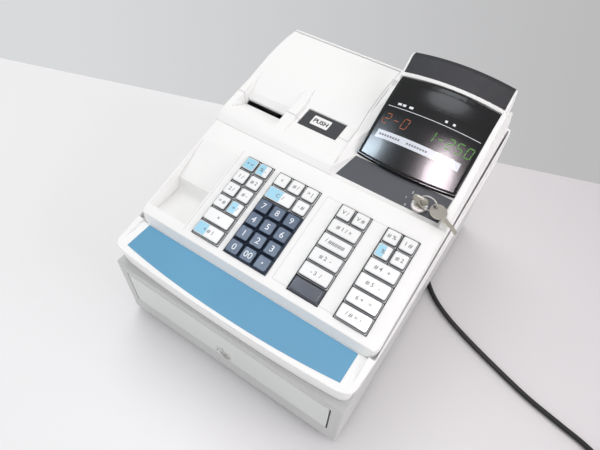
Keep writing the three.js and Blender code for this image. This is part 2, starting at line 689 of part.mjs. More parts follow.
const button = { left: -62, right: -8, front: 238, back: 266, topDrop: 1, thick: 9, gap: 0.5 };
{
  const { wall, skin } = rear;
  const body = prismX(bodyProfile(rearBottom), -rearHalf, rearHalf);
  const seatProfile = (bottom) => [
    [rearFront, bottom], [rearFront, pod.sillZ], [pod.stripFront, pod.stripZ], [pod.seatFront, pod.seatZ],
    [pod.seatBack, pod.seatTopZ], [customer.front, pod.seatTopZ], [customer.front, bottom],
  ];
  const seat = prismX(seatProfile(rearBottom), rear.podLeft, podRight + wall);
  const cheekProfile = [[rearFront, rearBottom + wall], ...cheekTop, [housingBack.topY + wall, pod.seatZ]];
  const cheek = prismX(cheekProfile, podRight, rearHalf);
  const housing = archedPrism(housingProfile, displayCentre - housingHalf, displayCentre + housingHalf);
  // The cheek's outer face leans in as it rises, and the hollow behind it keeps its distance
  const leanRun = (rear.draft * (cutTop - rear.draftFrom)) / (rear.draftTo - rear.draftFrom);
  const lean = (half) => prismY([
    [half, rear.draftFrom], [half + overrun, rear.draftFrom], [half + overrun, cutTop], [half - leanRun, cutTop],
  ], 0, overallDepth);
  const outer = body.add(seat).add(cheek).add(housing).subtract(lean(rearHalf));

  const openBottom = rearBottom - overrun;
  const bodyInner = prismX(offset(bodyProfile(openBottom), -wall), -rearHalf + wall, rearHalf - wall);
  const seatInner = prismX(offset(seatProfile(openBottom), -wall), rear.podLeft + wall, podRight - wall);
  const housingInner = archedPrism([
    [pod.seatBack + wall, pod.stripZ], [pod.seatBack + wall, customer.floorZ - wall],
    [housingBack.topY - wall, customer.floorZ - wall], [housingBack.footY - wall, pod.stripZ],
  ], displayCentre - housingHalf + wall, displayCentre + housingHalf - wall);
  const inner = bodyInner.add(seatInner).add(housingInner)
    .subtract(receiptCut(skin)).subtract(buttonCut(skin)).subtract(podCut(skin)).subtract(lean(rearHalf - wall));

  // Walls inside the shell: front of the printer bay, its floor, and the pod's left wall
  const bayLeft = -rearHalf + wall / 2;
  const bayRight = rear.podWall + wall / 2;
  const walls = block(bayLeft, bayRight, rear.bayFront, rear.bayFront + skin, rearBottom, cutTop)
    .add(block(bayLeft, bayRight, rear.bayFront, overallDepth, rear.floorZ, rear.floorZ + skin))
    .add(block(rear.podWall, rear.podWall + skin, rearFront + wall / 2, overallDepth, rearBottom, cutTop))
    .intersect(body);
  const sleeveX = customer.stemHalf + looseGap + customer.sleeve;
  const sleeveY = customer.stemThick / 2 + looseGap + customer.sleeve;
  const sleeve = block(
    displayCentre - sleeveX, displayCentre + sleeveX, customer.stemY - sleeveY, customer.stemY + sleeveY,
    customer.sleeveBottom, customer.floorZ + arch.rise * arch.sleeveShare,
  );

  // Opening for the printer cover, its left side cut down to a seam below the edge
  const edgeLine = stretch(bodyTop, rear.seamY, wallTop);
  const coverBand = [
    ...lowered(edgeLine, rear.sideDrop + rear.seam), [wallTop, cutTop], [rear.seamY, cutTop],
  ];
  const bayTop = rear.floorZ + skin;
  const bay = block(-rearHalf + wall, rear.podWall, rear.seamY, wallTop, bayTop, cutTop);
  const pocketHalf = displayHalf + looseGap;
  const pocket = archedPrism(pocketProfile, displayCentre - pocketHalf, displayCentre + pocketHalf);
  const stemX = customer.stemHalf + looseGap;
  const stemY = customer.stemThick / 2 + looseGap;
  const stemHole = block(
    displayCentre - stemX, displayCentre + stemX, customer.stemY - stemY, customer.stemY + stemY,
    rearBottom - overrun, cutTop,
  );
  const buttonNotch = block(
    button.left - button.gap, button.right + button.gap, button.front - button.gap, rear.seamY + button.gap,
    bayTop, cutTop,
  );
  const solid = outer.subtract(inner).add(walls).add(sleeve)
    .subtract(receiptCut(0)).subtract(buttonCut(0)).subtract(podCut(0))
    .subtract(prismX(coverBand, -rearHalf - overrun, rear.podWall))
    .subtract(bay).subtract(pocket).subtract(stemHole).subtract(buttonNotch);
  addPiece('rear_case', solid, '#ebe9e1', 0.45, 0);
}

// Printer cover
const cover = {
  slotMargin: 1, slotRight: -90, slotBack: 251, pinRadius: 2.2, hingeInset: 2.2, valleyDepth: 22,
};
{
  const { skin, coverBack } = rear;
  const line = stretch(bodyTop, coverFront, coverBack);
  const slab = prismX([...lowered(line, rear.sideDrop).reverse(), ...line], -rearHalf, coverRight);
  const deepLine = stretch(bodyTop, coverFront, receiptLine[receiptLine.length - 1][0] + skin);
  const deep = prismX([...lowered(deepLine, cover.valleyDepth).reverse(), ...deepLine],
    receiptLeft - skin, coverRight);
  const hollowLine = stretch(bodyTop, coverFront - skin, coverBack - skin);
  const hollow = prismX([...lowered(hollowLine, overrun).reverse(), ...lowered(hollowLine, skin)],
    -rearHalf + skin, coverRight - skin).subtract(receiptCut(skin)).subtract(buttonCut(skin));
  const slotLeft = receiptLeft + cover.slotMargin;
  const slot = block(slotLeft, cover.slotRight, 0, cover.slotBack, rear.floorZ, valleyTop);
  const notch = block(
    button.left - button.gap, button.right + button.gap, 0, button.back + button.gap, rear.floorZ, valleyTop,
  );
  // Round hinge pin along the rear edge
  const hingeY = coverBack - cover.hingeInset;
  const pin = circle(hingeY, heightOn(bodyTop, hingeY) - cover.hingeInset, cover.pinRadius, smallSides);
  const solid = slab.add(deep).subtract(hollow).subtract(receiptCut(0)).subtract(buttonCut(0)).subtract(slot)
    .subtract(notch).add(prismX(pin, -rearHalf + rear.wall + looseGap, coverRight - skin / 2));
  addPiece('printer_cover', solid, '#edebe3', 0.45, 0);
}
{
  const line = stretch(buttonLine, button.front, button.back);
  const top = lowered(line, button.topDrop);
  const profile = [...lowered(top, button.thick).reverse(), ...top];
  addPiece('cover_button', prismX(profile, button.left, button.right), '#3a3b3d', 0.5, 0);
}

// Receipt printer and paper roll
const printer = {
  sideMargin: 5.5, right: -86, plate: 2, front: 222, back: 352, headTop: 184, headBack: 262, bedZ: 178,
  platenRadius: 8, platenY: 250, platenZ: 174, blockFront: 226, blockBack: 240, blockTop: 181,
  motorRadius: 9, motorY: 280, motorZ: 164, motorRight: -116,
};
const roll = { y: 322, z: 184, radius: 27, core: 6, sideMargin: 10.25, right: -89.75, cradle: 24 };
{
  const floor = rear.floorZ + rear.skin + looseGap;
  const plate = [
    [printer.front, floor], [printer.back, floor], [printer.back, printer.bedZ],
    [printer.headBack + printer.motorRadius, printer.bedZ], [printer.headBack, printer.headTop],
    [printer.front, printer.headTop],
  ];
  const left = -rearHalf + printer.sideMargin;
  const side = (x0) => prismX(plate, x0, x0 + printer.plate);
  const across = [left + printer.plate / 2, printer.right - printer.plate / 2];
  const cradle = block(...across, roll.y - roll.cradle, roll.y + roll.cradle, floor, roll.z - roll.cradle / 2)
    .subtract(prismX(
      circle(roll.y, roll.z, roll.radius + looseGap, roundSides), across[0] - overrun, across[1] + overrun,
    ));
  const frontBlock = block(...across, printer.blockFront, printer.blockBack, floor, printer.blockTop);
  const bed = block(...across, printer.blockFront, roll.y, floor, floor + printer.plate);
  const { platenY, platenZ, platenRadius } = printer;
  const platen = prismX(circle(platenY, platenZ, platenRadius, smallSides), ...across);
  const motor = prismX(circle(printer.motorY, printer.motorZ, printer.motorRadius, smallSides), across[0],
    printer.motorRight);
  const solid = side(left).add(side(printer.right - printer.plate)).add(cradle).add(frontBlock).add(bed)
    .add(platen).add(motor);
  addPiece('printer_unit', solid, '#6f7173', 0.5, 0.4);
  const rollX = [-rearHalf + roll.sideMargin, roll.right];
  const paper = prismX(circle(roll.y, roll.z, roll.radius, roundSides), ...rollX)
    .subtract(prismX(circle(roll.y, roll.z, roll.core, smallSides), rollX[0] - overrun, rollX[1] + overrun));
  addPiece('paper_roll', paper, '#f3f2ee', 0.8, 0);
}

// Operator display window
const windowSides = [
  [237.2, 203.4], [262, 217.5], [290, 233], [310, 242.3], [326, 248], [336, 250.4], [340.4, 248.6],
];
const windowShell = { wall: 2.5, seatGap: 0.8 };
{
  const half = (windowRight - pod.windowLeft) / 2 - looseGap;
  const centre = (windowRight + pod.windowLeft) / 2;
  const foot = (y) => [y, seatHeight(y) + windowShell.seatGap];
  const first = windowSides[0][0];
  const last = windowSides[windowSides.length - 1][0];
  const outline = [foot(first), ...windowSides, foot(last)];
  const innerOutline = offset(outline, -windowShell.wall);
  const steps = windowSides.length - 1;
  const shareOf = (i) => Math.min(1, Math.max(0, (i - 1) / steps));
  const skinRings = (points, halfWide, dropFeet) => Array.from({ length: arch.steps + 1 }, (_, k) => {
    const s = (2 * k) / arch.steps - 1;
    const full = 1 - s * s;
    return points.map(([y, z], i) => {
      const share = shareOf(i);
      const foots = i === 0 || i === points.length - 1;
      const rise = foots ? -dropFeet : arch.rise * share * full;
      const forward = i === points.length - 1 ? 0 : arch.bow * (1 - share) * full;
      return [centre + s * halfWide, y - forward, z + rise];
    });
  });
  const solid = loft(skinRings(outline, half, 0), 1, 2)
    .subtract(loft(skinRings(innerOutline, half - windowShell.wall, overrun), 1, 2));
  addPiece('display_window', solid, '#15171b', 0.1, 0);
}

// Mode lock and its key
const stripAngle = Math.atan2(pod.seatZ - pod.stripZ, pod.seatFront - pod.stripFront);
const modeLock = {
  inset: 29.5, y: 213, radius: 9.5, height: 3.2, bore: 6, bevel: 1, plugRise: 2.4, bladeWide: 8, bladeThick: 2.2,
  bowHalf: 9, bowHigh: 14, bowStart: 7, bowRadius: 5, bowHole: 2.4, holeInset: 4.6,
};
const stripHeight = (y) => pod.stripZ + (y - pod.stripFront) * Math.tan(stripAngle);
const lockX = podRight - modeLock.inset;
const lockFrame = new THREE.Matrix4().makeRotationX(stripAngle)
  .setPosition(lockX, modeLock.y, stripHeight(modeLock.y));
function onStrip(solid) {
  const geometry = asGeometry(solid);
  geometry.applyMatrix4(lockFrame);
  return asSolid(geometry);
}
function ringStack(stack) {
  return loft(stack.map(([radius, z]) => circle(0, 0, radius, roundSides).map(([x, y]) => [x, y, z])), 0, 1);
}
{
  const { radius, height, bevel, bore } = modeLock;
  const collar = ringStack([[radius, looseGap], [radius, height - bevel], [radius - bevel, height]])
    .subtract(ringStack([[bore, -overrun], [bore, overrun]]));
  addPiece('mode_lock', onStrip(collar), '#a9aaa8', 0.3, 0.8);
  const plug = ringStack([[bore - looseGap, looseGap], [bore - looseGap, modeLock.plugRise]]);
  const blade = block(
    -modeLock.bladeWide / 2, modeLock.bladeWide / 2, -modeLock.bladeThick / 2, modeLock.bladeThick / 2,
    modeLock.plugRise / 2, modeLock.bowStart + modeLock.bladeThick,
  );
  const bowTop = modeLock.bowStart + modeLock.bowHigh;
  const bow = roundedRect(-modeLock.bowHalf, modeLock.bowHalf, modeLock.bowStart, bowTop, modeLock.bowRadius);
  const hole = circle(0, bowTop - modeLock.holeInset, modeLock.bowHole, smallSides);
  const bowPlate = prismY(bow, -modeLock.bladeThick / 2, modeLock.bladeThick / 2)
    .subtract(prismY(hole, -modeLock.bladeThick, modeLock.bladeThick));
  addPiece('mode_key', onStrip(plug.add(blade).add(bowPlate)), '#9b988a', 0.35, 0.8);
}

// Customer display
{
  const head = archedPrism(headProfile, displayCentre - displayHalf, displayCentre + displayHalf);
  const { stemHalf, stemThick, stemY } = customer;
  const stem = block(
    displayCentre - stemHalf, displayCentre + stemHalf, stemY - stemThick / 2, stemY + stemThick / 2,
    customer.stemBottom, customer.floorZ + arch.rise + customer.sleeve,
  );
  const lean = (customer.back - customer.topBack) / (headTopZ - customer.floorZ);
  const backAt = (z) => customer.back - (z - customer.floorZ) * lean;
  const { windowLow, windowHigh, windowSink } = customer;
  const recess = archedPrism([
    [backAt(windowLow) - windowSink, windowLow], [backAt(windowHigh) - windowSink, windowHigh],
    [customer.back + overrun, windowHigh], [customer.back + overrun, windowLow],
  ], displayCentre - customer.windowHalf, displayCentre + customer.windowHalf);
  addPiece('customer_display', head.subtract(recess).add(stem), '#4b4d52', 0.35, 0);
}

// Mains cord
const cord = {
  diameter: 6.5, sides: 10, lift: 0.3, step: 2.1, endStraight: 6.5, reliefLead: 13, coilLead: 19.5,
};
const cordRadius = cord.diameter / 2;
const cordZ = cordRadius + cord.lift;
const relief = { flange: 8, flangeThick: 3, neckIn: 5, taperLong: 30, taperStart: 6.4, taperEnd: 4.6 };
const reliefFace = overallDepth + looseGap;
const reliefEnd = reliefFace + relief.flangeThick + relief.taperLong;
{
  const neck = reliefAt.neck;
  const profile = [
    [0, overallDepth - relief.neckIn], [neck, overallDepth - relief.neckIn], [neck, reliefFace],
    [relief.flange, reliefFace], [relief.flange, reliefFace + relief.flangeThick],
    [relief.taperStart, reliefFace + relief.flangeThick], [relief.taperEnd, reliefEnd], [0, reliefEnd],
  ];
  addPiece('strain_relief', turnedY(profile, reliefAt.x, reliefAt.z, roundSides), '#1d1d1f', 0.6, 0);
}

// Round coil: in towards the middle, up a layer, and out again
const coil = {
  x: 450, y: 85, startTurn: 60, fullLoops: 5, lastTurn: 150, stepsPerLoop: 24, sides: 6,
  middleRadius: 36.1, radialPitch: 7.2, layerPitch: 7.1, tail: 6.5, plugTail: 40,
};
const turnOf = (degrees) => (degrees * Math.PI) / 180;
const coilLoops = coil.fullLoops + coil.lastTurn / 360;
const coilInner = coil.middleRadius - (coil.radialPitch * coilLoops) / 4;
function coilPoint(share) {
  const fromMiddle = (share - 1 / 2) * coilLoops;
  const radius = coilInner + coil.radialPitch * Math.abs(fromMiddle);
  const climb = Math.min(1, Math.max(0, fromMiddle * 2 + 1 / 2));
  const rise = climb * climb * (3 - 2 * climb);
  const turn = turnOf(coil.startTurn) - share * coilLoops * 2 * Math.PI;
  return new THREE.Vector3(
    coil.x + radius * Math.cos(turn), coil.y + radius * Math.sin(turn), cordZ + coil.layerPitch * rise,
  );
}
const tangentAt = (share) => {
  const turn = turnOf(coil.startTurn) - share * coilLoops * 2 * Math.PI;
  return new THREE.Vector3(Math.sin(turn), -Math.cos(turn), 0);
};
const coilSteps = Math.round(coilLoops * coil.stepsPerLoop);
const coilTrack = Array.from({ length: coilSteps + 1 }, (_, i) => coilPoint(i / coilSteps));
const coilStart = coilTrack[0].clone().addScaledVector(tangentAt(0), -coil.tail);
const coilEnd = coilTrack[coilSteps].clone().addScaledVector(tangentAt(1), coil.plugTail);

// A curve that runs straight between its own points
class Track extends THREE.Curve {
  constructor(points) {
    super();
    this.points = points;
  }

  getPoint(t) {
    const at = Math.min(t * (this.points.length - 1), this.points.length - 1 - weldDistance);
    const i = Math.floor(at);
    return this.points[i].clone().lerp(this.points[i + 1], at - i);
  }

  getPointAt(t) {
    return this.getPoint(t);
  }

  getTangent(t) {
    const last = this.points.length - 1;
    const i = Math.min(Math.round(t * last), last);
    const ahead = this.points[Math.min(i + 1, last)];
    const behind = this.points[Math.max(i - 1, 0)];
    return ahead.clone().sub(behind).normalize();
  }

  getTangentAt(t) {
    return this.getTangent(t);
  }
}

function tube(points, radius, sides) {
  const track = new Track(points);
  const geometry = new THREE.ExtrudeGeometry(shapeOf(circle(0, 0, radius, sides)), {
    steps: points.length - 1, bevelEnabled: false, extrudePath: track,
  });
  return asSolid(geometry);
}

addPiece('cord_coil', tube([coilStart, ...coilTrack, coilEnd], cordRadius, coil.sides), '#161618', 0.55, 0);
{
  // Least gap between turns, on points finer than the steps
  const fine = Array.from({ length: coilSteps * 4 + 1 }, (_, i) => coilPoint(i / (coilSteps * 4)));
  const perLoop = coil.stepsPerLoop * 4;
  let least = Infinity;
  for (let i = 0; i < fine.length; i += 1) {
    for (let k = i + perLoop / 2; k < fine.length; k += 1) {
      least = Math.min(least, fine[i].distanceTo(fine[k]));
    }
  }
  console.log('least gap of the coil to itself', (least - cord.diameter).toFixed(2), 'mm');
}

// Route from the relief, down behind the cabinet, forward under it and out across the table
const seenRoute = [
  [160.3, 254.5], [177.4, 239.1], [200.2, 225.1], [238.3, 208.5], [285.1, 191.4], [325, 178.5], [366.7, 169],
  [403.3, 160.4],
];
const underRoute = [[98, 404], [112, 360], [130, 310], [147, 273]];
const bend = { steps: 8, reachShare: 0.9, drift: 14 };
const bendRadius = (reliefAt.z - cordZ) / 2;
const bendPoints = Array.from({ length: bend.steps + 1 }, (_, i) => {
  const share = i / bend.steps;
  const turn = Math.PI * (1 / 2 - share);
  return new THREE.Vector3(
    reliefAt.x + bend.drift * share * share,
    reliefEnd + cord.reliefLead + bendRadius * bend.reachShare * Math.cos(turn),
    cordZ + bendRadius * (1 + Math.sin(turn)),
  );
});
const routeStart = new THREE.Vector3(reliefAt.x, reliefEnd + looseGap, reliefAt.z);
const route = [
  routeStart,
  routeStart.clone().add(new THREE.Vector3(0, cord.endStraight, 0)),
  ...bendPoints,
  ...underRoute.map(([x, y]) => new THREE.Vector3(x, y, cordZ)),
  ...seenRoute.map(([x, y]) => new THREE.Vector3(x, y, cordZ)),
  coilStart.clone().addScaledVector(tangentAt(0), -cord.coilLead),
  coilStart.clone().addScaledVector(tangentAt(0), -cord.endStraight),
  coilStart.clone().addScaledVector(tangentAt(0), -looseGap),
];
const routeCurve = new THREE.CatmullRomCurve3(route, false, 'centripetal');
const routeSteps = Math.round(routeCurve.getLength() / (cord.diameter * cord.step));
const routePoints = routeCurve.getSpacedPoints(routeSteps);
routePoints.forEach((p) => p.setZ(Math.max(p.z, cordZ)));
addPiece('power_cord', tube(routePoints, cordRadius, cord.sides), '#161618', 0.55, 0);
{
  const length = (points) => points.reduce((sum, p, i) => sum + (i ? p.distanceTo(points[i - 1]) : 0), 0);
  const whole = length(routePoints) + length([coilStart, ...coilTrack, coilEnd]);
  console.log('cord length', whole.toFixed(0), 'mm in', routeSteps, 'and', coilSteps, 'steps, lowest point',
    Math.min(...routePoints.map((p) => p.z)).toFixed(2));
}

// Mains plug, lying beside the coil
const plug = {
  tailHalf: 5, wideHalf: 12, highHalf: 10.4, neck: 12, length: 34, radius: 3,
  bladeLong: 17, bladeHigh: 6.3, bladeThick: 1.5, bladeSpread: 6.35,
};
{
  const section = (s, wide, high) => roundedRect(-wide, wide, -high, high, plug.radius)
    .map(([a, b]) => [s, a, b]);
  let solid = loft([
    section(0, plug.tailHalf, plug.tailHalf), section(plug.neck, plug.wideHalf, plug.highHalf),
    section(plug.length, plug.wideHalf, plug.highHalf),
  ], 1, 2);
  for (const side of [-1, 1]) {
    const a = side * plug.bladeSpread;
    solid = solid.add(block(
      plug.length - plug.bladeThick, plug.length + plug.bladeLong, a - plug.bladeThick / 2,
      a + plug.bladeThick / 2, -plug.bladeHigh / 2, plug.bladeHigh / 2,
    ));
  }
  const geometry = asGeometry(solid);
  const heading = tangentAt(1);
  geometry.applyMatrix4(new THREE.Matrix4().makeBasis(heading, unitZ.clone().cross(heading), unitZ));
  const from = coilEnd.clone().addScaledVector(heading, looseGap);
  geometry.translate(from.x, from.y, from.z);
  addPiece('power_plug', asSolid(geometry), '#1b1b1d', 0.5, 0);
}

export default group;
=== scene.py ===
# Electronic cash register on a steel cash drawer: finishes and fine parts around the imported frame.
# Sizes are in millimetres here: x across, y back from the front face, z up from the table.
import math
import bpy
import bmesh
import numpy as np
from mathutils import Matrix, Vector
from mathutils.bvhtree import BVHTree


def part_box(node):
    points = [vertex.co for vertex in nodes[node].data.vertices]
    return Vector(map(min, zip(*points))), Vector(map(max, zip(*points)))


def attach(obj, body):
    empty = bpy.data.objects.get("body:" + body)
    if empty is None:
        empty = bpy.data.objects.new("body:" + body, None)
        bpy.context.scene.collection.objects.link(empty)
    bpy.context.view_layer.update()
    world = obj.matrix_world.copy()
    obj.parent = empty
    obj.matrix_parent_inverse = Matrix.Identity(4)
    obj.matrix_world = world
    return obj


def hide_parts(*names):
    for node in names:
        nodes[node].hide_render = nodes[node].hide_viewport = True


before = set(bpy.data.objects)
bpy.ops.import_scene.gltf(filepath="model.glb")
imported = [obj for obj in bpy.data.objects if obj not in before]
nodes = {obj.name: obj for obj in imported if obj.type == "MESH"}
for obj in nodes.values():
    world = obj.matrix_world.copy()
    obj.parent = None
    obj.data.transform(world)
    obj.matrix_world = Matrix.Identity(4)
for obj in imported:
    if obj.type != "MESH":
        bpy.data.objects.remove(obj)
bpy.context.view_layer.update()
mm = 0.001
frontFace = -197.5  # the front face's y in the frame


def at(x, y, z):
    return Vector((x * mm, (y + frontFace) * mm, z * mm))


def addObject(name, data):
    made = bpy.data.objects.new(name, data)
    bpy.context.scene.collection.objects.link(made)
    return made


# Camera at the photograph's viewpoint
view = {
    "place": (0.192124, -0.354839, 0.591831),
    "right": (0.830695, 0.555856, 0.031150),
    "down": (0.450958, -0.639009, -0.623140),
    "lens": 29.193,
    "sensor": 36,
    "near": 0.01,
}
right, down = Vector(view["right"]), Vector(view["down"])
camera = addObject("camera", bpy.data.cameras.new("camera"))
camera.data.lens = view["lens"]
camera.data.sensor_width = view["sensor"]
camera.data.clip_start = view["near"]
turn = Matrix((right, -down, -right.cross(down))).transposed().to_4x4()
camera.matrix_world = Matrix.Translation(view["place"]) @ turn
bpy.context.scene.camera = camera
print("camera placed")


# Helpers for colours, nodes and meshes
def linear(code):
    parts = [int(code[i:i + 2], 16) / 255 for i in (1, 3, 5)]
    return (*[p / 12.92 if p <= 0.04045 else ((p + 0.055) / 1.055) ** 2.4 for p in parts], 1)


def addNode(tree, kind, inputs=None, **settings):
    node = tree.nodes.new(kind)
    for key, value in settings.items():
        setattr(node, key, value)
    for key, value in (inputs or {}).items():
        if isinstance(value, bpy.types.NodeSocket):
            tree.links.new(value, node.inputs[key])
        else:
            node.inputs[key].default_value = value
    return node


def emptyTree(owner):
    # The cleared node tree of a material or world
    owner.use_nodes = True
    owner.node_tree.nodes.clear()
    return owner.node_tree


def plainMesh(holder):
    # An object's text or modifiers worked out into a mesh of its own
    bpy.context.view_layer.update()
    return bpy.data.meshes.new_from_object(holder.evaluated_get(bpy.context.evaluated_depsgraph_get()))


def pieceFrom(name, parts, materials, body):
    # parts are (points, faces, material number or one for each face); each is a closed skin of its own
    bm = bmesh.new()
    for points, faces, number in parts:
        made = [bm.verts.new(p) for p in points]
        numbers = number if isinstance(number, list) else [number] * len(faces)
        for face, chosen in zip(faces, numbers):
            bm.faces.new([made[i] for i in face]).material_index = chosen
    bmesh.ops.remove_doubles(bm, verts=bm.verts, dist=1e-7)
    bmesh.ops.recalc_face_normals(bm, faces=bm.faces)
    mesh = bpy.data.meshes.new(name)
    bm.to_mesh(mesh)
    bm.free()
    for material in materials:
        mesh.materials.append(material)
    piece = addObject(name, mesh)
    if body:
        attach(piece, body)
    return piece


def plate(outline, place, low, high, number=0):
    # A flat outline [(u, v)] made into a closed plate by place(u, v, height)
    count = len(outline)
    points = [place(u, v, low) for u, v in outline] + [place(u, v, high) for u, v in outline]
    faces = [list(range(count))[::-1], list(range(count, 2 * count)), *tubeFaces(count, 2, False)]
    return points, faces, number


def roundBox(u0, u1, v0, v1, radius, steps=3):
    points = []
    corners = [(u1 - radius, v1 - radius), (u0 + radius, v1 - radius), (u0 + radius, v0 + radius),
               (u1 - radius, v0 + radius)]
    for quarter, (cu, cv) in enumerate(corners):
        for i in range(steps):
            angle = (quarter + i / (steps - 1)) * math.pi / 2
            points.append((cu + radius * math.cos(angle), cv + radius * math.sin(angle)))
    return points


def tubeFaces(count, rings, closed):
    # Faces between rings of count points each, joined end to end where closed
    faces = []
    for k in range(rings if closed else rings - 1):
        here, there = k * count, (k + 1) % rings * count
        faces += [[here + i, here + (i + 1) % count, there + (i + 1) % count, there + i]
                  for i in range(count)]
    return faces


def barFaces(steps):
    # Faces of a bar with four-cornered sections, closed at both ends
    last = 4 * steps
    return tubeFaces(4, steps + 1, False) + [[0, 1, 2, 3], [last + 3, last + 2, last + 1, last]]


def loopFaces(count):
    # Faces of a closed loop between four rings: two on one side, then two on the other
    return [[a * count + i, a * count + (i + 1) % count, b * count + (i + 1) % count, b * count + i]
            for i in range(count) for a, b in ((0, 1), (1, 3), (3, 2), (2, 0))]


def sweep(path, section, closed=False):
    # A section [(a, b)] carried along a path of points without twist
    count, last = len(section), len(path) - 1
    points, side = [], None
    for i, point in enumerate(path):
        ahead = path[(i + 1) % len(path)] if closed else path[min(i + 1, last)]
        behind = path[i - 1] if closed else path[max(i - 1, 0)]
        along = (ahead - behind).normalized()
        if side is None:
            side = along.cross(Vector((0, 0, 1)) if abs(along.z) < 0.9 else Vector((1, 0, 0)))
        side = (side - along * side.dot(along)).normalized()
        up = along.cross(side)
        points += [point + side * a + up * b for a, b in section]
    faces = tubeFaces(count, len(path), closed)
    if not closed:
        faces += [list(range(count))[::-1], [last * count + i for i in range(count)]]
    return points, faces


def ring(radius, sides):
    return [(radius * math.cos(2 * math.pi * i / sides), radius * math.sin(2 * math.pi * i / sides))
            for i in range(sides)]


# Finishes
def zoneMask(tree, coords, low, high):
    # One inside the box from low to high, nought outside it
    split = addNode(tree, "ShaderNodeSeparateXYZ", {0: coords})
    mask = None
    for axis in range(3):
        middle, half = (low[axis] + high[axis]) / 2 * mm, (high[axis] - low[axis]) / 2 * mm
        inside = addNode(tree, "ShaderNodeMath", {0: split.outputs[axis], 1: middle, 2: half},
                         operation="COMPARE").outputs[0]
        if mask is None:
            mask = inside
        else:
            mask = addNode(tree, "ShaderNodeMath", {0: mask, 1: inside}, operation="MULTIPLY").outputs[0]
    return mask


# What holds where a finish names nothing else; drift, patch, grain, depth and edge are sizes in mm
usual = {"drift": 70, "patch": 9, "spread": 0.06, "ior": 1.5, "metallic": 0, "coat": 0, "coatRoughness": 0.03,
         "edgeHighlight": 0, "highlightFrom": 0.99, "highlightFull": 0.8}


def finish(name, settings, zones=()):
    # Body colour with slow drift, a moulded or sprayed grain in the bump, softened edges, a painted highlight
    # on edges where asked, and colour zones
    look = {**usual, **settings}
    material = bpy.data.materials.new(name)
    tree = emptyTree(material)
    place = addNode(tree, "ShaderNodeTexCoord").outputs["Object"]
    drift = addNode(tree, "ShaderNodeTexNoise", {"Vector": place, "Scale": 1000 / look["drift"], "Detail": 3})
    colour = addNode(tree, "ShaderNodeMix", {
        0: drift.outputs["Fac"], 6: linear(look["colour"]), 7: linear(look["deep"])},
        data_type="RGBA").outputs[2]
    patchy = addNode(tree, "ShaderNodeTexNoise", {
        "Vector": place, "Scale": 1000 / look["patch"], "Detail": 2})
    gloss = addNode(tree, "ShaderNodeMapRange", {
        0: patchy.outputs["Fac"], 3: look["roughness"] - look["spread"],
        4: look["roughness"] + look["spread"]}).outputs[0]
    metal = None
    for zone in zones:
        source = place
        if "turned" in zone:  # a zone in the sloping frame of the key deck
            source = addNode(tree, "ShaderNodeMapping", {
                "Vector": place, "Location": zone["turned"][0], "Rotation": zone["turned"][1]}).outputs[0]
        mask = zoneMask(tree, source, zone["low"], zone["high"])
        colour = addNode(tree, "ShaderNodeMix", {0: mask, 6: colour, 7: linear(zone["colour"])},
                         data_type="RGBA").outputs[2]
        gloss = addNode(tree, "ShaderNodeMix", {0: mask, 2: gloss, 3: zone["roughness"]}).outputs[0]
        if "metal" in zone:
            metal = mask
    normal = addNode(tree, "ShaderNodeBevel", {"Radius": look["edge"] * mm}, samples=6).outputs[0]
    if look["edgeHighlight"]:  # painted highlight: every edge is drawn paler, by how far the softened normal turns from the true one
        bare = addNode(tree, "ShaderNodeNewGeometry").outputs["Normal"]
        bend = addNode(tree, "ShaderNodeVectorMath", {0: normal, 1: bare}, operation="DOT_PRODUCT")
        edge = addNode(tree, "ShaderNodeMapRange", {
            0: bend.outputs["Value"], 1: look["highlightFrom"], 2: look["highlightFull"], 4: look["edgeHighlight"]})
        colour = addNode(tree, "ShaderNodeMix", {0: edge.outputs[0], 6: colour, 7: linear(look["highlightColour"])},
                         data_type="RGBA").outputs[2]
    grain = addNode(tree, "ShaderNodeTexNoise", {"Vector": place, "Scale": 1000 / look["grain"], "Detail": 2})
    bump = addNode(tree, "ShaderNodeBump", {
        "Height": grain.outputs["Fac"], "Distance": look["depth"] * mm, "Strength": 1, "Normal": normal})
    shader = addNode(tree, "ShaderNodeBsdfPrincipled", {
        "Base Color": colour, "Roughness": gloss, "Normal": bump.outputs[0],
        "Metallic": metal if metal else look["metallic"], "IOR": look["ior"],
        "Coat Weight": look["coat"], "Coat Roughness": look["coatRoughness"]})
    if "glow" in look:
        shader.inputs["Emission Color"].default_value = linear(look["colour"])
        shader.inputs["Emission Strength"].default_value = look["glow"]
    addNode(tree, "ShaderNodeOutputMaterial", {0: shader.outputs[0]})
    material.diffuse_color = linear(look["colour"])
    return material


# The key deck slopes; its own frame has x across, v up the slope and n off its face
deck = {"y": 71.2, "z": 156.27, "angle": 0.27847, "pitch": 19, "gap": 1, "rows": 6, "rise": 3.6}
deckUp = Vector((0, math.cos(deck["angle"]), math.sin(deck["angle"])))
deckOut = Vector((0, -math.sin(deck["angle"]), math.cos(deck["angle"])))


def onDeck(x, v, n):
    return at(x, deck["y"], deck["z"]) + deckUp * v * mm + deckOut * n * mm


deckTurn = Matrix.Rotation(-deck["angle"], 4, "X")
deckShift = -(deckTurn @ at(0, deck["y"], deck["z"]))
deckFrame = (tuple(deckShift), (-deck["angle"], 0, 0))

# Moulded ABS in warm white: dull satin with the fine spark grain of a textured mould, drawn coarse to show,
# and a painted highlight on its edges
caseLook = {"colour": "#fafafa", "deep": "#f5f5f4", "roughness": 0.46, "grain": 1.1, "depth": 0.035,
            "edge": 1.6, "edgeHighlight": 0.5, "highlightColour": "#ffffff"}
caseAbs = finish("mouldedAbsWarmWhite", caseLook)
deckAbs = finish("mouldedAbsKeyDeck", caseLook, [
    {"turned": deckFrame, "low": (-87, -14, -14), "high": (141, 108, -0.25),  # painted shade inside the key wells
     "colour": "#1b2027", "roughness": 0.5},
    {"turned": deckFrame, "low": (44, -9.2, -8), "high": (83, 9.2, 6),  # blank cap of the third block
     "colour": "#4c505c", "roughness": 0.24},
])
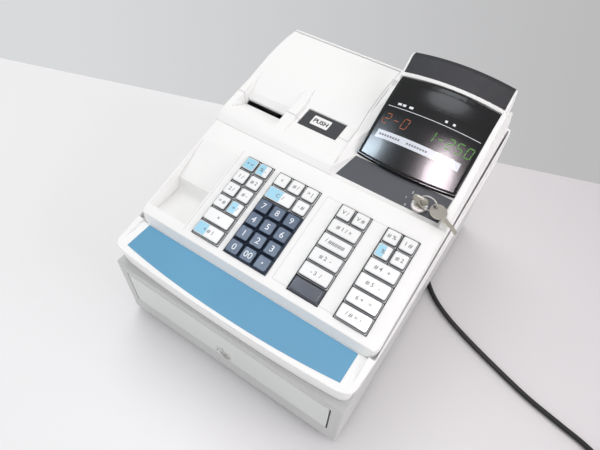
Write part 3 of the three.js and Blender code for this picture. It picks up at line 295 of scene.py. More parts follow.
# Baked enamel on sheet steel: pale grey, half gloss, with the slight orange peel of a sprayed coat and a
# painted highlight on its edges
enamel = {"grain": 2.4, "depth": 0.05, "edgeHighlight": 0.4}
cabinetPaint = finish("bakedEnamelPaleGrey", {
    **enamel, "colour": "#cccdcd", "deep": "#c4c5c5", "roughness": 0.4, "edge": 1.0, "highlightColour": "#e9eae7"}, [
    {"low": (-400, -400, -5), "high": (400, 400, 8.9),  # rubber feet
     "colour": "#26272a", "roughness": 0.75}])
drawerPaint = finish("bakedEnamelDrawer", {
    **enamel, "colour": "#dfe1e0", "deep": "#d6d8d7", "roughness": 0.38, "edge": 0.8, "highlightColour": "#e4e6e2"})
# Clear acrylic cap: a glassy white top over its card, bright chamfers, and sides painted dark as the shade of
# the gap behind them
keyAcrylic = finish("acrylicKeyCap", {
    "colour": "#e9ebec", "deep": "#e1e4e6", "roughness": 0.14, "grain": 3, "depth": 0.01, "edge": 0.3,
    "coat": 0.6})
acrylicSidePaintedShade = finish("acrylicKeySidePaintedShade", {
    "colour": "#5b5f64", "deep": "#4b4f54", "drift": 6, "roughness": 0.2, "grain": 2, "depth": 0.02,
    "edge": 0.3, "coat": 0.5})
# Moulded ABS in slate blue: satin tops, with painted shade making the rims darker and the sides near black
slate = {"roughness": 0.3, "grain": 0.7, "depth": 0.02, "edge": 0.3}
keySlate = finish("mouldedAbsSlateKey", {
    **slate, "colour": "#51617a", "deep": "#495870", "roughness": 0.32, "edge": 0.4})
slateRimPaintedShade = finish("mouldedAbsSlateRimPaintedShade", {**slate, "colour": "#3b4a60", "deep": "#344257"})
slateSidePaintedShade = finish("mouldedAbsSlateSidePaintedShade", {**slate, "colour": "#1b2533", "deep": "#161f2b", "roughness": 0.4})
# Smoked acrylic: near black and polished, with faint wiping smears in the gloss
smoked = finish("smokedAcrylicWindow", {
    "colour": "#0c0d10", "deep": "#08090b", "roughness": 0.17, "spread": 0.03, "patch": 22, "grain": 30,
    "depth": 0.008, "edge": 0.5, "coat": 0.1})
# Painted highlight: the three dark plastics below have their edges drawn paler
darkAbs = finish("mouldedAbsCharcoal", {  # satin charcoal ABS with a visible spark grain
    "colour": "#343539", "deep": "#2d2e32", "roughness": 0.55, "ior": 1.42, "grain": 0.9, "depth": 0.05,
    "edge": 1.4, "edgeHighlight": 0.35, "highlightColour": "#77787d"})
trayAbs = finish("mouldedAbsTray", {  # coarse dark tray plastic, dulled by coins
    "colour": "#4a4b4d", "deep": "#414244", "roughness": 0.55, "grain": 1.4, "depth": 0.06, "edge": 1.2,
    "edgeHighlight": 0.4, "highlightColour": "#6a6b6d"})
buttonAbs = finish("mouldedAbsButton", {  # satin black-grey push button
    "colour": "#424347", "deep": "#3a3b3f", "roughness": 0.4, "grain": 0.9, "depth": 0.04, "edge": 1.2,
    "edgeHighlight": 0.4, "highlightColour": "#66676b"})
# Printed polycarbonate film: sky blue under a velvet face, deeper in patches
blueFilm = finish("printedFilmSkyBlue", {
    "colour": "#66a9cd", "deep": "#5c98bd", "drift": 160, "roughness": 0.42, "grain": 0.8, "depth": 0.02,
    "edge": 0.2})
greyFilm = finish("printedFilmSlateGrey", {  # the same film in slate grey on the lock strip
    "colour": "#4f5258", "deep": "#474a50", "roughness": 0.36, "grain": 0.8, "depth": 0.02, "edge": 0.2})
filmEdgeShade = finish("filmEdgePaintedShade", {  # painted shade along the fine edges of the deck's overlay film
    "colour": "#c9c8c2", "deep": "#bfbeb7", "roughness": 0.5, "grain": 0.8, "depth": 0.01, "edge": 0.1})
# Glossy paper cards, the duller label on the window, and flat printing ink
paper = {"roughness": 0.25, "grain": 0.5, "depth": 0.008, "edge": 0.1, "coat": 0.5}
ink = {"roughness": 0.4, "grain": 0.5, "depth": 0.005, "edge": 0.05}
cardWhite = finish("printedCardWhite", {**paper, "colour": "#fafafa", "deep": "#f3f4f5"})
cardBlue = finish("printedCardSkyBlue", {**paper, "colour": "#a9def4", "deep": "#9ed6ef"})
labelPaper = finish("windowLabelPaper", {
    "colour": "#dde1ea", "deep": "#d3d8e2", "roughness": 0.3, "grain": 0.6, "depth": 0.01, "edge": 0.1,
    "coat": 0.4})
inkGrey = finish("legendInkGrey", {**ink, "colour": "#75797e", "deep": "#6a6e73"})
inkDark = finish("legendInkDark", {**ink, "colour": "#3c3e42", "deep": "#34363a"})
inkWhite = finish("legendInkWhite", {**ink, "colour": "#eef2f6", "deep": "#e4e9ee", "roughness": 0.35})
# Vacuum fluorescent digits, lit
glowOrange = finish("fluorescentDigitOrange", {
    **ink, "colour": "#a24e10", "deep": "#93440a", "grain": 1, "glow": 0.1})
glowGreen = finish("fluorescentDigitGreen", {
    **ink, "colour": "#4f9f22", "deep": "#458f1a", "grain": 1, "glow": 0.2})
# Nickel-plated brass, softly worn by handling
nickel = finish("nickelPlatedBrass", {
    "colour": "#e4e3df", "deep": "#cfceca", "roughness": 0.4, "grain": 1.6, "depth": 0.03, "edge": 0.4,
    "metallic": 1, "drift": 12})
keyNickel = finish("nickelSilverKey", {
    "colour": "#d2cfc4", "deep": "#bab6aa", "roughness": 0.42, "grain": 1.2, "depth": 0.05, "edge": 0.4,
    "metallic": 1, "drift": 9})
zincSteel = finish("zincPlatedSteel", {  # folded printer chassis, bright and slightly cloudy
    "colour": "#a9abac", "deep": "#909395", "roughness": 0.42, "grain": 3, "depth": 0.04, "edge": 0.5,
    "metallic": 0.8, "drift": 14})
plateFoil = finish("anodisedPlateFoil", {  # brushed silver foil of a plate left bare
    "colour": "#b9bbbd", "deep": "#aeb0b2", "roughness": 0.35, "grain": 0.7, "depth": 0.01, "edge": 0.1,
    "metallic": 0.7, "drift": 20})
thermalPaper = finish("thermalPaper", {  # smooth bright paper
    "colour": "#f6f5f1", "deep": "#eeede8", "roughness": 0.6, "grain": 0.6, "depth": 0.02, "edge": 0.4})
# Soft PVC of the mains lead: black, dull, with a fine drawn surface
cordPvc = finish("extrudedPvcBlack", {
    "colour": "#1c1c1e", "deep": "#151517", "roughness": 0.46, "grain": 1.1, "depth": 0.05, "edge": 0.3})
plugPvc = finish("mouldedPvcPlug", {
    "colour": "#1f1f21", "deep": "#171719", "roughness": 0.5, "grain": 0.9, "depth": 0.05, "edge": 1.0}, [
    {"low": (340, -160, 0), "high": (376.6, -110, 30),  # brass blades of the plug
     "colour": "#c9b77c", "roughness": 0.3, "metal": True}])
tieNylon = finish("nylonCableTie", {
    "colour": "#ecebe6", "deep": "#e1e0da", "roughness": 0.4, "grain": 0.8, "depth": 0.02, "edge": 0.3})
print("finishes ready")

nodeFinish = {
    "cabinet": cabinetPaint, "drawer": drawerPaint, "drawer_lock": nickel, "coin_tray": trayAbs,
    "base_case": caseAbs, "key_deck": deckAbs, "rear_case": caseAbs, "printer_cover": caseAbs,
    "cover_button": buttonAbs, "printer_unit": zincSteel, "paper_roll": thermalPaper,
    "display_window": smoked, "customer_display": darkAbs, "mode_lock": nickel, "mode_key": keyNickel,
    "strain_relief": plugPvc, "power_plug": plugPvc,
}
darkKeys = {f"key_b{row}_{i}": text
            for row, texts in zip((3, 4, 5, 6), ("789", "456", "123", ("0", "00", "·")))
            for i, text in enumerate(texts, 1)}
for name, node in nodes.items():
    if name in ("power_cord", "cord_coil"):
        continue
    chosen = nodeFinish.get(name) or (keySlate if name in darkKeys else keyAcrylic)
    node.data.materials.clear()
    node.data.materials.append(chosen)


# Mains lead: out of the relief, down behind the cabinet, forward under it, across the table into its coil
lead = {"diameter": 6.5, "z": 3.55, "exit": (77, 428.6, 124), "straight": 435.1, "sides": 12, "per": 6}
bend = {"steps": 8, "share": 0.9, "drift": 14, "lead": 13, "from": 428.3}
table = [(98, 404), (112, 360), (130, 310), (147, 273), (160.3, 254.5), (177.4, 239.1), (200.2, 225.1),
         (238.3, 208.5), (285.1, 191.4), (325, 178.5), (366.7, 169), (403.3, 160.4)]
coil = {"x": 450, "y": 85, "start": 60, "turns": 5 + 150 / 360, "middle": 36.1, "radial": 7.2, "layer": 7.1,
        "before": (19.5, 6.5, 0.3), "tail": 6.5, "plugTail": 40, "steps": 48}


def coilPoint(share):
    middle = (share - 0.5) * coil["turns"]
    radius = coil["middle"] - coil["radial"] * coil["turns"] / 4 + coil["radial"] * abs(middle)
    climb = min(1, max(0, middle * 2 + 0.5))
    angle = math.radians(coil["start"]) - share * coil["turns"] * 2 * math.pi
    return at(coil["x"] + radius * math.cos(angle), coil["y"] + radius * math.sin(angle),
              lead["z"] + coil["layer"] * climb * climb * (3 - 2 * climb))


def coilHeading(share):
    angle = math.radians(coil["start"]) - share * coil["turns"] * 2 * math.pi
    return Vector((math.sin(angle), -math.cos(angle), 0))


def smoothThrough(points, per):
    # Centripetal curve through the points
    ends = [points[0] * 2 - points[1], *points, points[-1] * 2 - points[-2]]
    out = []
    for a, b, c, d in zip(ends, ends[1:], ends[2:], ends[3:]):
        p, q, r = [max((t - s).length, 1e-6) ** 0.5 for s, t in ((a, b), (b, c), (c, d))]
        start = ((b - a) / p - (c - a) / (p + q) + (c - b) / q) * q
        end = ((c - b) / q - (d - b) / (q + r) + (d - c) / r) * q
        for i in range(per):
            t = i / per
            out.append(b * (2 * t ** 3 - 3 * t ** 2 + 1) + start * (t ** 3 - 2 * t ** 2 + t)
                       + c * (3 * t ** 2 - 2 * t ** 3) + end * (t ** 3 - t ** 2))
    return out + [points[-1]]


bendRadius = (lead["exit"][2] - lead["z"]) / 2
route = [at(*lead["exit"]), at(lead["exit"][0], lead["straight"], lead["exit"][2])]
for i in range(bend["steps"] + 1):
    share = i / bend["steps"]
    angle = math.pi * (0.5 - share)
    route.append(at(lead["exit"][0] + bend["drift"] * share * share,
                    bend["from"] + bend["lead"] + bendRadius * bend["share"] * math.cos(angle),
                    lead["z"] + bendRadius * (1 + math.sin(angle))))
route += [at(x, y, lead["z"]) for x, y in table]
coilSteps = round(coil["turns"] * coil["steps"])
turns = [coilPoint(i / coilSteps) for i in range(coilSteps + 1)]
entry = turns[0] - coilHeading(0) * coil["tail"] * mm
route += [entry - coilHeading(0) * back * mm for back in coil["before"]]
line = smoothThrough(route, lead["per"])
for point in line:
    point.z = max(point.z, lead["z"] * mm)
line += [entry, *turns, turns[-1] + coilHeading(1) * coil["plugTail"] * mm]
tube = (*sweep(line, ring(lead["diameter"] / 2 * mm, lead["sides"])), 0)
mainsLead = pieceFrom("mains_lead", [tube], [cordPvc], "register")
mainsLead.data.polygons.foreach_set("use_smooth", [True] * len(mainsLead.data.polygons))
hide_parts("power_cord", "cord_coil")

# Nylon tie round the coil's bundle, with its locking head outside
tie = {"angle": 200, "inner": 29.2, "outer": 46.5, "top": 14.6, "bottom": 0.1, "thick": 1.1, "wide": 3.6,
       "corner": 3, "head": (-0.4, 4.2, -3, 3, 0.8), "headZ": 8, "headHalf": 3,
       "tail": ((4.6, 8.6), (15, 10.2), (15, 11.1), (4.6, 9.6))}
angle = math.radians(tie["angle"])
outwards = Vector((math.cos(angle), math.sin(angle), 0))
aside = Vector((-math.sin(angle), math.cos(angle), 0))


def acrossCoil(r, z, s):
    return at(coil["x"], coil["y"], 0) + (outwards * r + Vector((0, 0, z)) + aside * s) * mm


loopIn = roundBox(tie["inner"], tie["outer"], tie["bottom"] + tie["thick"], tie["top"], tie["corner"], 4)
loopOut = roundBox(tie["inner"] - tie["thick"], tie["outer"] + tie["thick"], tie["bottom"],
                   tie["top"] + tie["thick"], tie["corner"] + tie["thick"], 4)
points = [acrossCoil(r, z, s) for s in (-tie["wide"] / 2, tie["wide"] / 2) for loop in (loopIn, loopOut)
          for r, z in loop]
head = [(tie["outer"] + tie["thick"] + u, tie["headZ"] + v) for u, v in roundBox(*tie["head"])]
headPart = plate(head, acrossCoil, -tie["headHalf"], tie["headHalf"])
tail = [(tie["outer"] + u, z) for u, z in tie["tail"]]
tailPart = plate(tail, acrossCoil, -tie["wide"] / 2, tie["wide"] / 2)
cableTie = pieceFrom("cable_tie", [(points, loopFaces(len(loopIn)), 0), headPart, tailPart], [tieNylon],
                     "register")
print("mains lead laid,", round(sum((b - a).length for a, b in zip(line, line[1:])), 3), "m")


# Letters and signs as thin closed plates
signCache = {}


def signPart(text, size, place, low, high, number=0, weight=0):
    # Flat text of that height in mm, centred, then carried on to a surface by place(u, v, height)
    if (text, weight) not in signCache:
        curve = bpy.data.curves.new("sign", "FONT")
        curve.body = text
        curve.align_x = "CENTER"
        curve.size = 1
        curve.extrude = 0.5
        curve.offset = weight
        curve.resolution_u = 3
        holder = addObject("sign", curve)
        flat = plainMesh(holder)
        middle = (min(v.co.y for v in flat.vertices) + max(v.co.y for v in flat.vertices)) / 2
        signCache[text, weight] = ([(v.co.x, v.co.y - middle, v.co.z) for v in flat.vertices],
                                   [list(p.vertices) for p in flat.polygons])
        bpy.data.objects.remove(holder)
        bpy.data.curves.remove(curve)
        bpy.data.meshes.remove(flat)
    points, faces = signCache[text, weight]
    return [place(x * size, y * size, low if z < 0 else high) for x, y, z in points], faces, number


# Each key's cap has steep sides, a chamfered rim and a flat top; white ones hold a card with plain signs
cap = {"foot": 0.25, "waist": 1.15, "top": 1.75, "sink": 4.4, "shoulder": -0.25, "lift": 0.15, "radius": 1.6}
cards = {"inset": 2.15, "radius": 0.9, "cut": 0.4, "low": 0.16, "high": 0.26, "ink": (0.28, 0.32),
         "size": 6.6, "weight": 0.012, "digit": 10.6, "dot": 1.6}
legends = {
    "a1_1": "+ =", "a1_2": "% -", "a2_1": "1 /", "a2_2": "# 2", "a3_1": "2 /", "a3_2": "# -", "a4_1": "= #",
    "a4_2": "+ /", "a5": "×", "a6": "+ # 1", "b1_1": "<", "b1_2": "# /", "b1_3": "> |", "b2_1": "C  /",
    "b2_3": "- #", "c1_1": "V /", "c1_2": "V #", "c2": "# 1 / +", "c3": "/ #####", "c4": "# 2  -",
    "c5": "- 3  /", "d1_1": "# %", "d1_2": "1 #", "d2_1": "%", "d2_2": "# 2", "d3": "# 4   +",
    "d4": "# 5   -", "d5": "6 +   =", "d6": "/ # = +",
}
blueShare = {"a1_1": 1, "a1_2": 0.62, "a4_2": 0.62, "a6": 0.42, "b2_1": 0.55, "d2_1": 0.62}  # of the width


def capPart(place, half, tall):
    # Foot, shoulder and rim of a cap as rings of the same count, closed above and below
    levels = [(cap["foot"], -cap["sink"]), (cap["waist"], cap["shoulder"]), (cap["top"], cap["lift"])]
    points, count = [], 0
    for inset, n in levels:
        edge = roundBox(-half + inset, half - inset, -tall + inset, tall - inset, cap["radius"])
        points += [place(u, w, n) for u, w in edge]
        count = len(edge)
    faces = [list(range(count))[::-1], *tubeFaces(count, 3, False), [2 * count + i for i in range(count)]]
    return points, faces, [2] + [2] * count + [1] * count + [0]


for name in [n for n in nodes if n.startswith("key_") and n != "key_deck"]:
    title = name[4:]
    row = int(title[1])
    low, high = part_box(name)
    x = (low.x + high.x) / 2 / mm
    v = (deck["rows"] - row) * deck["pitch"]
    half, tall = (high.x - low.x) / 2 / mm, (deck["pitch"] - deck["gap"]) / 2

    def onKey(u, w, n):
        return onDeck(x + u, v + w, deck["rise"] + n)

    if name in darkKeys:
        pieceFrom("cap_" + title, [capPart(onKey, half, tall)], [keySlate, slateRimPaintedShade, slateSidePaintedShade], name)
        size = cards["digit"] * (cards["dot"] if darkKeys[name] == "·" else 1)
        made = [signPart(darkKeys[name], size, onKey, cards["low"], cards["high"])]
        pieceFrom("legend_" + title, made, [inkWhite], name)
        continue
    pieceFrom("cap_" + title, [capPart(onKey, half, tall)], [keyAcrylic, keyAcrylic, acrylicSidePaintedShade], name)
    wide, deep = half - cards["inset"], tall - cards["inset"]
    blue = blueShare.get(title, 0)
    cut = -wide + 2 * wide * blue
    made, onCap = [], (onKey, cards["low"], cards["high"])
    if blue < 1:
        made.append(plate(roundBox(cut if blue else -wide, wide, -deep, deep, cards["radius"]), *onCap))
    if blue:
        made.append(plate(roundBox(-wide, cut, -deep, deep, cards["cut"]), *onCap, 1))
    made.append(signPart(legends[title], cards["size"], onKey, *cards["ink"], 2, cards["weight"]))
    pieceFrom("card_" + title, made, [cardWhite, cardBlue, inkGrey], name)
print("key cards and legends set")


# Blue film on the shelf, bowed at the front
shelf = {"half": 140.6, "front": 4.6, "bow": 8.4, "power": 2.2, "rear": 48.2, "z": 140, "low": 0.03,
         "high": 0.35, "steps": 24}
outline = []
for i in range(shelf["steps"] + 1):
    x = shelf["half"] * (2 * i / shelf["steps"] - 1)
    outline.append((x, shelf["front"] + shelf["bow"] * abs(x / shelf["half"]) ** shelf["power"]))
outline += [(shelf["half"], shelf["rear"]), (-shelf["half"], shelf["rear"])]
film = plate(outline, at, shelf["z"] + shelf["low"], shelf["z"] + shelf["high"])
pieceFrom("shelf_film", [film], [blueFilm], "register")

# Painted shade lines along the fine edges of the overlay film on the deck: a frame round the third block and
# a line beside the recess
overlay = {"left": 25, "right": 101, "front": -7.6, "rear": 104.5, "corner": 0.3, "wide": 0.35, "low": 0.01,
           "high": 0.1, "beside": (-96, -12, -96, 108)}


def filmLine(u0, v0, u1, v1):
    w = overlay["wide"] / 2
    if abs(u1 - u0) > abs(v1 - v0):
        outline = [(u0, v0 - w), (u1, v1 - w), (u1, v1 + w), (u0, v0 + w)]
    else:
        outline = [(u0 - w, v0), (u1 - w, v1), (u1 + w, v1), (u0 + w, v0)]
    return plate(outline, onDeck, overlay["low"], overlay["high"])


lines = [filmLine(u, overlay["front"], u, overlay["rear"]) for u in (overlay["left"], overlay["right"])]
for v in (overlay["front"], overlay["rear"]):
    lines.append(filmLine(overlay["left"] + overlay["corner"], v, overlay["right"] - overlay["corner"], v))
lines.append(filmLine(*overlay["beside"]))
pieceFrom("overlay_edges", lines, [filmEdgeShade], "register")

# Slate film on the lock strip with small marks round the lock
strip = {"y": 203, "z": 188.5, "angle": math.atan2(10.5, 33), "low": 0.03, "high": 0.24, "ink": (0.26, 0.32),
         "film": [(15.2, 1.2), (143.6, 1.2), (145.2, 33.2), (23.6, 33.2)], "size": 4.2,
         "marks": (("2", 103.6, 223.4), ("1", 99.6, 215.4), ("0", 102.6, 207.0))}
stripUp = Vector((0, math.cos(strip["angle"]), math.sin(strip["angle"])))
stripOut = Vector((0, -math.sin(strip["angle"]), math.cos(strip["angle"])))


def onStrip(x, s, n):
    return at(x, strip["y"], strip["z"]) + stripUp * s * mm + stripOut * n * mm


marks = [plate(strip["film"], onStrip, strip["low"], strip["high"])]
for text, x, y in strip["marks"]:
    s = (y - strip["y"]) / math.cos(strip["angle"])
    marks.append(signPart(text, strip["size"], lambda u, w, n: onStrip(x + u, s + w, n), *strip["ink"], 1))
pieceFrom("lock_strip_film", marks, [greyFilm, inkWhite], "register")
print("films laid")


# Polished sheet over the smoked window, its heights taken from the bowed face and evened out
shell = nodes["display_window"].data
windowFace = BVHTree.FromPolygons([v.co for v in shell.vertices], [list(p.vertices) for p in shell.polygons])
sheet = {"x0": 24.2, "x1": 144.8, "y0": 231, "y1": 342, "across": 36, "along": 48, "rounds": 8, "lift": 0.16,
         "sink": -0.6, "inset": 0.7, "probe": 0.1, "above": 400, "lowest": 197, "end": 0.9999, "reach": 2}
columns, rowCount = sheet["across"] + 1, sheet["along"] + 1


def windowTop(x, y):
    spot = windowFace.ray_cast(at(x, y, sheet["above"]), Vector((0, 0, -1)))[0]
    return spot.z / mm if spot else 0


def columnX(i):
    return sheet["x0"] + (sheet["x1"] - sheet["x0"]) * i / sheet["across"]


fronts, backs = [], []
tryCount = int((sheet["y1"] - sheet["y0"]) / sheet["probe"]) + 1
tries = [sheet["y0"] + sheet["probe"] * k for k in range(tryCount)]
for i in range(columns):
    hits = [y for y in tries if windowTop(columnX(i), y) > sheet["lowest"]]
    fronts.append(hits[0] + sheet["inset"])
    backs.append(hits[-1] - sheet["inset"])
places = [i / sheet["across"] for i in range(columns)]
fronts, backs = [list(np.polyval(np.polyfit(places, edge, 2), places)) for edge in (fronts, backs)]


def sheetPlace(i, j):
    return columnX(i), fronts[i] + (backs[i] - fronts[i]) * j / sheet["along"]


heights = [[windowTop(*sheetPlace(i, j)) for i in range(columns)] for j in range(rowCount)]
heights = [list(np.polyval(np.polyfit(places, row, 2), places)) for row in heights]
for _ in range(sheet["rounds"]):
    heights = [heights[0]] + [[(a + b * 2 + c) / 4 for a, b, c in zip(*three)]
                              for three in zip(heights, heights[1:], heights[2:])] + [heights[-1]]


def between(row, u):
    # Value of a row of the sheet at the column place u
    return row[int(u)] * (1 - u + int(u)) + row[int(u) + 1] * (u - int(u))


def sheetHeight(x, y):
    u = min(max((x - sheet["x0"]) / (sheet["x1"] - sheet["x0"]), 0), sheet["end"]) * sheet["across"]
    front, back = between(fronts, u), between(backs, u)
    v = min(max((y - front) / (back - front), 0), sheet["end"]) * sheet["along"]
    j = int(v)
    return between(heights[j], u) * (1 - v + j) + between(heights[j + 1], u) * (v - j)


def sheetNormal(x, y):
    reach = sheet["reach"]
    rise = (sheetHeight(x + reach, y) - sheetHeight(x - reach, y)) / (2 * reach)
    climb = (sheetHeight(x, y + reach) - sheetHeight(x, y - reach)) / (2 * reach)
    return Vector((-rise, -climb, 1)).normalized()


def onWindow(x, y, lift):
    return at(x, y, sheetHeight(x, y)) + sheetNormal(x, y) * (sheet["lift"] + lift) * mm


points, faces = [], []
for lift in (sheet["sink"], sheet["lift"]):
    points += [at(*sheetPlace(i, j), heights[j][i] + lift) for j in range(rowCount)
               for i in range(columns)]
layer = columns * rowCount
for j in range(rowCount - 1):
    for i in range(columns - 1):
        near, far = j * columns + i, (j + 1) * columns + i
        corner = [near, near + 1, far + 1, far]
        faces += [corner[::-1], [layer + c for c in corner]]
border = list(range(columns))
border += [j * columns + columns - 1 for j in range(1, rowCount)]
border += [(rowCount - 1) * columns + i for i in range(columns - 2, -1, -1)]
border += [j * columns for j in range(rowCount - 2, 0, -1)]
for a, b in zip(border, border[1:] + border[:1]):
    faces.append([a, b, layer + b, layer + a])
glass = pieceFrom("window_glass", [(points, faces, 0)], [smoked], "register")
glass.data.polygons.foreach_set("use_smooth", [len(f) == 4 and min(f) >= layer for f in faces])


def windowStrip(x0, x1, y0, y1, low, high, number, steps=24):
    points = []
    for i in range(steps + 1):
        x = x0 + (x1 - x0) * i / steps
        points += [onWindow(x, y0, low), onWindow(x, y1, low), onWindow(x, y1, high), onWindow(x, y0, high)]
    return points, barFaces(steps), number


segments = {"0": "abcdef", "1": "bc", "2": "abged", "5": "afgcd", "-": "g"}
segment = {"half": 3.3, "tall": 5.5, "wide": 0.85, "lean": 0.16, "gap": 0.3, "ink": (0.12, 0.2)}
signs = {
    "line": (28.4, 142.2, 294.7, 295.3), "label": (32.6, 134.8, 258.6, 267.4), "wordY": (298.4, 301),
    "words": ((38, 42.5), (44, 48), (52, 57), (96.5, 99.5), (106, 109)),
    "digits": ((280.6, 2, (("2", 35), ("-", 46.5), ("0", 58))),  # y, material, each with its x
               (279.8, 3, (("1", 91), ("-", 102.5), ("2", 114), ("5", 125.5), ("0", 137)))),
    "ink": (0.1, 0.18), "paper": (0.1, 0.2),
}
labelPrint = {"starts": (36, 70), "count": 8, "pitch": 3.3, "wide": 2.3, "y": (261.9, 263.9),
              "ink": (0.18, 0.24)}


def digitParts(text, x, y, number):
    # Seven-segment digit, leaning, its seven bars named a to g from the top clockwise
    w, h, t, g = segment["half"], segment["tall"], segment["wide"] / 2, segment["gap"]
    ends = {"a": ((-w, h), (w, h)), "b": ((w, h), (w, 0)), "c": ((w, 0), (w, -h)), "d": ((-w, -h), (w, -h)),
            "e": ((-w, 0), (-w, -h)), "f": ((-w, h), (-w, 0)), "g": ((-w, 0), (w, 0))}
    made = []
    for bar in segments[text]:
        start, end = [Vector(p) for p in ends[bar]]
        along = (end - start).normalized()
        side = Vector((-along.y, along.x))
        a, b = start + along * g, end - along * g
        outline = [a, a + along * t + side * t, b - along * t + side * t, b, b - along * t - side * t,
                   a + along * t - side * t]
        outline = [(p.x + p.y * segment["lean"] + x, p.y + y) for p in outline]
        made.append(plate(outline, onWindow, *segment["ink"], number))
    return made


window = [windowStrip(*signs["line"], *signs["ink"], 0), windowStrip(*signs["label"], *signs["paper"], 1)]
for x0, x1 in signs["words"]:
    window.append(windowStrip(x0, x1, *signs["wordY"], *signs["ink"], 0, 2))
for y, number, digits in signs["digits"]:
    for text, x in digits:
        window += digitParts(text, x, y, number)
for start in labelPrint["starts"]:
    for i in range(labelPrint["count"]):
        x = start + labelPrint["pitch"] * i
        window.append(windowStrip(x, x + labelPrint["wide"], *labelPrint["y"], *labelPrint["ink"], 4, 2))
pieceFrom("window_signs", window, [inkWhite, labelPaper, glowOrange, glowGreen, inkGrey], "register")

# White card on the cover's push button, whose face bends where its front part meets its rear part
button = {"profile": ((217, 202.5), (244, 204.3), (266, 207)), "sunk": 1, "x": -37.7, "y": 254, "low": 0.04,
          "high": 0.24, "card": (-50, -25.5, 246.5, 261.5, 1.2), "word": "PUSH", "size": 8.6, "weight": 0.03,
          "ink": (0.26, 0.34)}


def onButton(x, y, n):
    front, crease, back = button["profile"]
    a, b = (front, crease) if y < crease[0] else (crease, back)
    return at(x, y, a[1] + (b[1] - a[1]) * (y - a[0]) / (b[0] - a[0]) - button["sunk"] + n)


def onCard(u, w, n):
    return onButton(button["x"] + u, button["y"] + w, n)


card = plate(roundBox(*button["card"]), onButton, button["low"], button["high"])
word = signPart(button["word"], button["size"], onCard, *button["ink"], 1, button["weight"])
pieceFrom("button_card", [card, word], [cardWhite, inkDark], "cover_button")
print("window signs and button card set")


# Glass in the leaning back of the customer display, arched as its head is
pane = {"half": 45.4, "low": 246.6, "high": 259.4, "thick": 0.7, "centre": 84, "arch": 6, "archHalf": 65.3,
        "back": 374, "floor": 240, "lean": 4 / 24.2, "sunk": 1.15, "steps": 16}


def onRearGlass(x, z, n):
    rise = pane["arch"] * (1 - min(1, abs(x / pane["archHalf"])) ** 2)
    y = pane["back"] - (z - pane["floor"]) * pane["lean"] - pane["sunk"]
    return at(pane["centre"] + x, y + n, z + rise)


points = []
for i in range(pane["steps"] + 1):
    x = pane["half"] * (2 * i / pane["steps"] - 1)
    for z, n in (("low", 0), ("high", 0), ("high", pane["thick"]), ("low", pane["thick"])):
        points.append(onRearGlass(x, pane[z], n))
pieceFrom("customer_glass", [(points, barFaces(pane["steps"]), 0)], [smoked], "customer_display")

# Spare key on a split ring that hangs from the key in the lock
lock = {"x": 117, "y": 213, "eye": 16.4}
spare = {"centre": (139.6, 206, 203.4), "heading": (0.88, -0.44, -0.16), "bow": 9.5, "thick": 1.9,
         "sides": 28, "hole": 2.6, "holeShare": 0.62, "bladeHalf": 0.8, "wire": 0.75, "wireSides": 8,
         "slack": 1.2, "ringSteps": 40}
bitting = [(8.9, -2.7), (28, -2.7), (31, 0), (28, 2.2), (25.5, 0.8), (23.5, 2.3), (21, 0.6), (18.5, 2.4),
           (15.5, 2.7), (8.9, 2.7)]
lockPlace = at(lock["x"], lock["y"], strip["z"] + (lock["y"] - strip["y"]) * math.tan(strip["angle"]))
heading = Vector(spare["heading"]).normalized()
sideways = heading.cross(Vector((0, 0, 1))).normalized()
off = sideways.cross(heading)


def onSpare(u, w, n):
    return at(*spare["centre"]) + (heading * u + sideways * w + off * n) * mm


holeOff = -spare["bow"] * spare["holeShare"]
bowEdge = ring(spare["bow"], spare["sides"])
holeEdge = [(holeOff + u, w) for u, w in ring(spare["hole"], spare["sides"])]
points = [onSpare(u, w, n) for n in (-spare["thick"] / 2, spare["thick"] / 2) for edge in (bowEdge, holeEdge)
          for u, w in edge]
bow = (points, loopFaces(spare["sides"]), 0)
blade = plate(bitting, onSpare, -spare["bladeHalf"], spare["bladeHalf"])
hole = onSpare(holeOff, 0, 0)
eye = lockPlace + stripOut * lock["eye"] * mm
middle = (hole + eye) / 2
along = (hole - eye).normalized()
across = along.cross(Vector((0, 0, 1))).cross(along).normalized()
radius = (hole - eye).length / 2 + spare["slack"] * mm
loop = [middle + (along * u + across * w) * radius for u, w in ring(1, spare["ringSteps"])]
splitRing = (*sweep(loop, ring(spare["wire"] * mm, spare["wireSides"]), True), 1)
pieceFrom("spare_key", [bow, blade, splitRing], [keyNickel, nickel], "mode_key")
print("spare key hung")

# Nickel collar round the drawer's lock, with the arc and the three marks that show where the key turns to
collar = {"x": 2, "z": 49, "radius": 7.1, "tube": 0.95, "out": 0.4, "steps": 48, "sides": 10, "arc": 11.5,
          "from": 100, "to": 190, "stride": 6, "wide": 0.5, "tick": (0.6, 3.4), "low": 0.03, "high": 0.16}


def onDrawer(u, w, n):
    return at(collar["x"] + u, -n, collar["z"] + w)


circle = [onDrawer(u, w, collar["out"]) for u, w in ring(collar["radius"], collar["steps"])]
tube = (*sweep(circle, ring(collar["tube"] * mm, collar["sides"]), True), 0)
arcOut, arcIn = [[(r * math.cos(math.radians(a)), r * math.sin(math.radians(a)))
                  for a in range(collar["from"], collar["to"] + 1, collar["stride"])]
                 for r in (collar["arc"] + collar["wide"] / 2, collar["arc"] - collar["wide"] / 2)]
signParts = [plate(arcOut + arcIn[::-1], onDrawer, collar["low"], collar["high"], 1)]
for a in (collar["from"], (collar["from"] + collar["to"]) / 2, collar["to"]):
    tick = Vector((math.cos(math.radians(a)), math.sin(math.radians(a))))
    side = Vector((-tick.y, tick.x)) * collar["wide"] / 2
    near, far = [tick * (collar["arc"] + reach) for reach in collar["tick"]]
    outline = [tuple(p) for p in (near - side, far - side, far + side, near + side)]
    signParts.append(plate(outline, onDrawer, collar["low"], collar["high"], 1))
pieceFrom("lock_collar", [tube, *signParts], [nickel, inkGrey], "drawer")


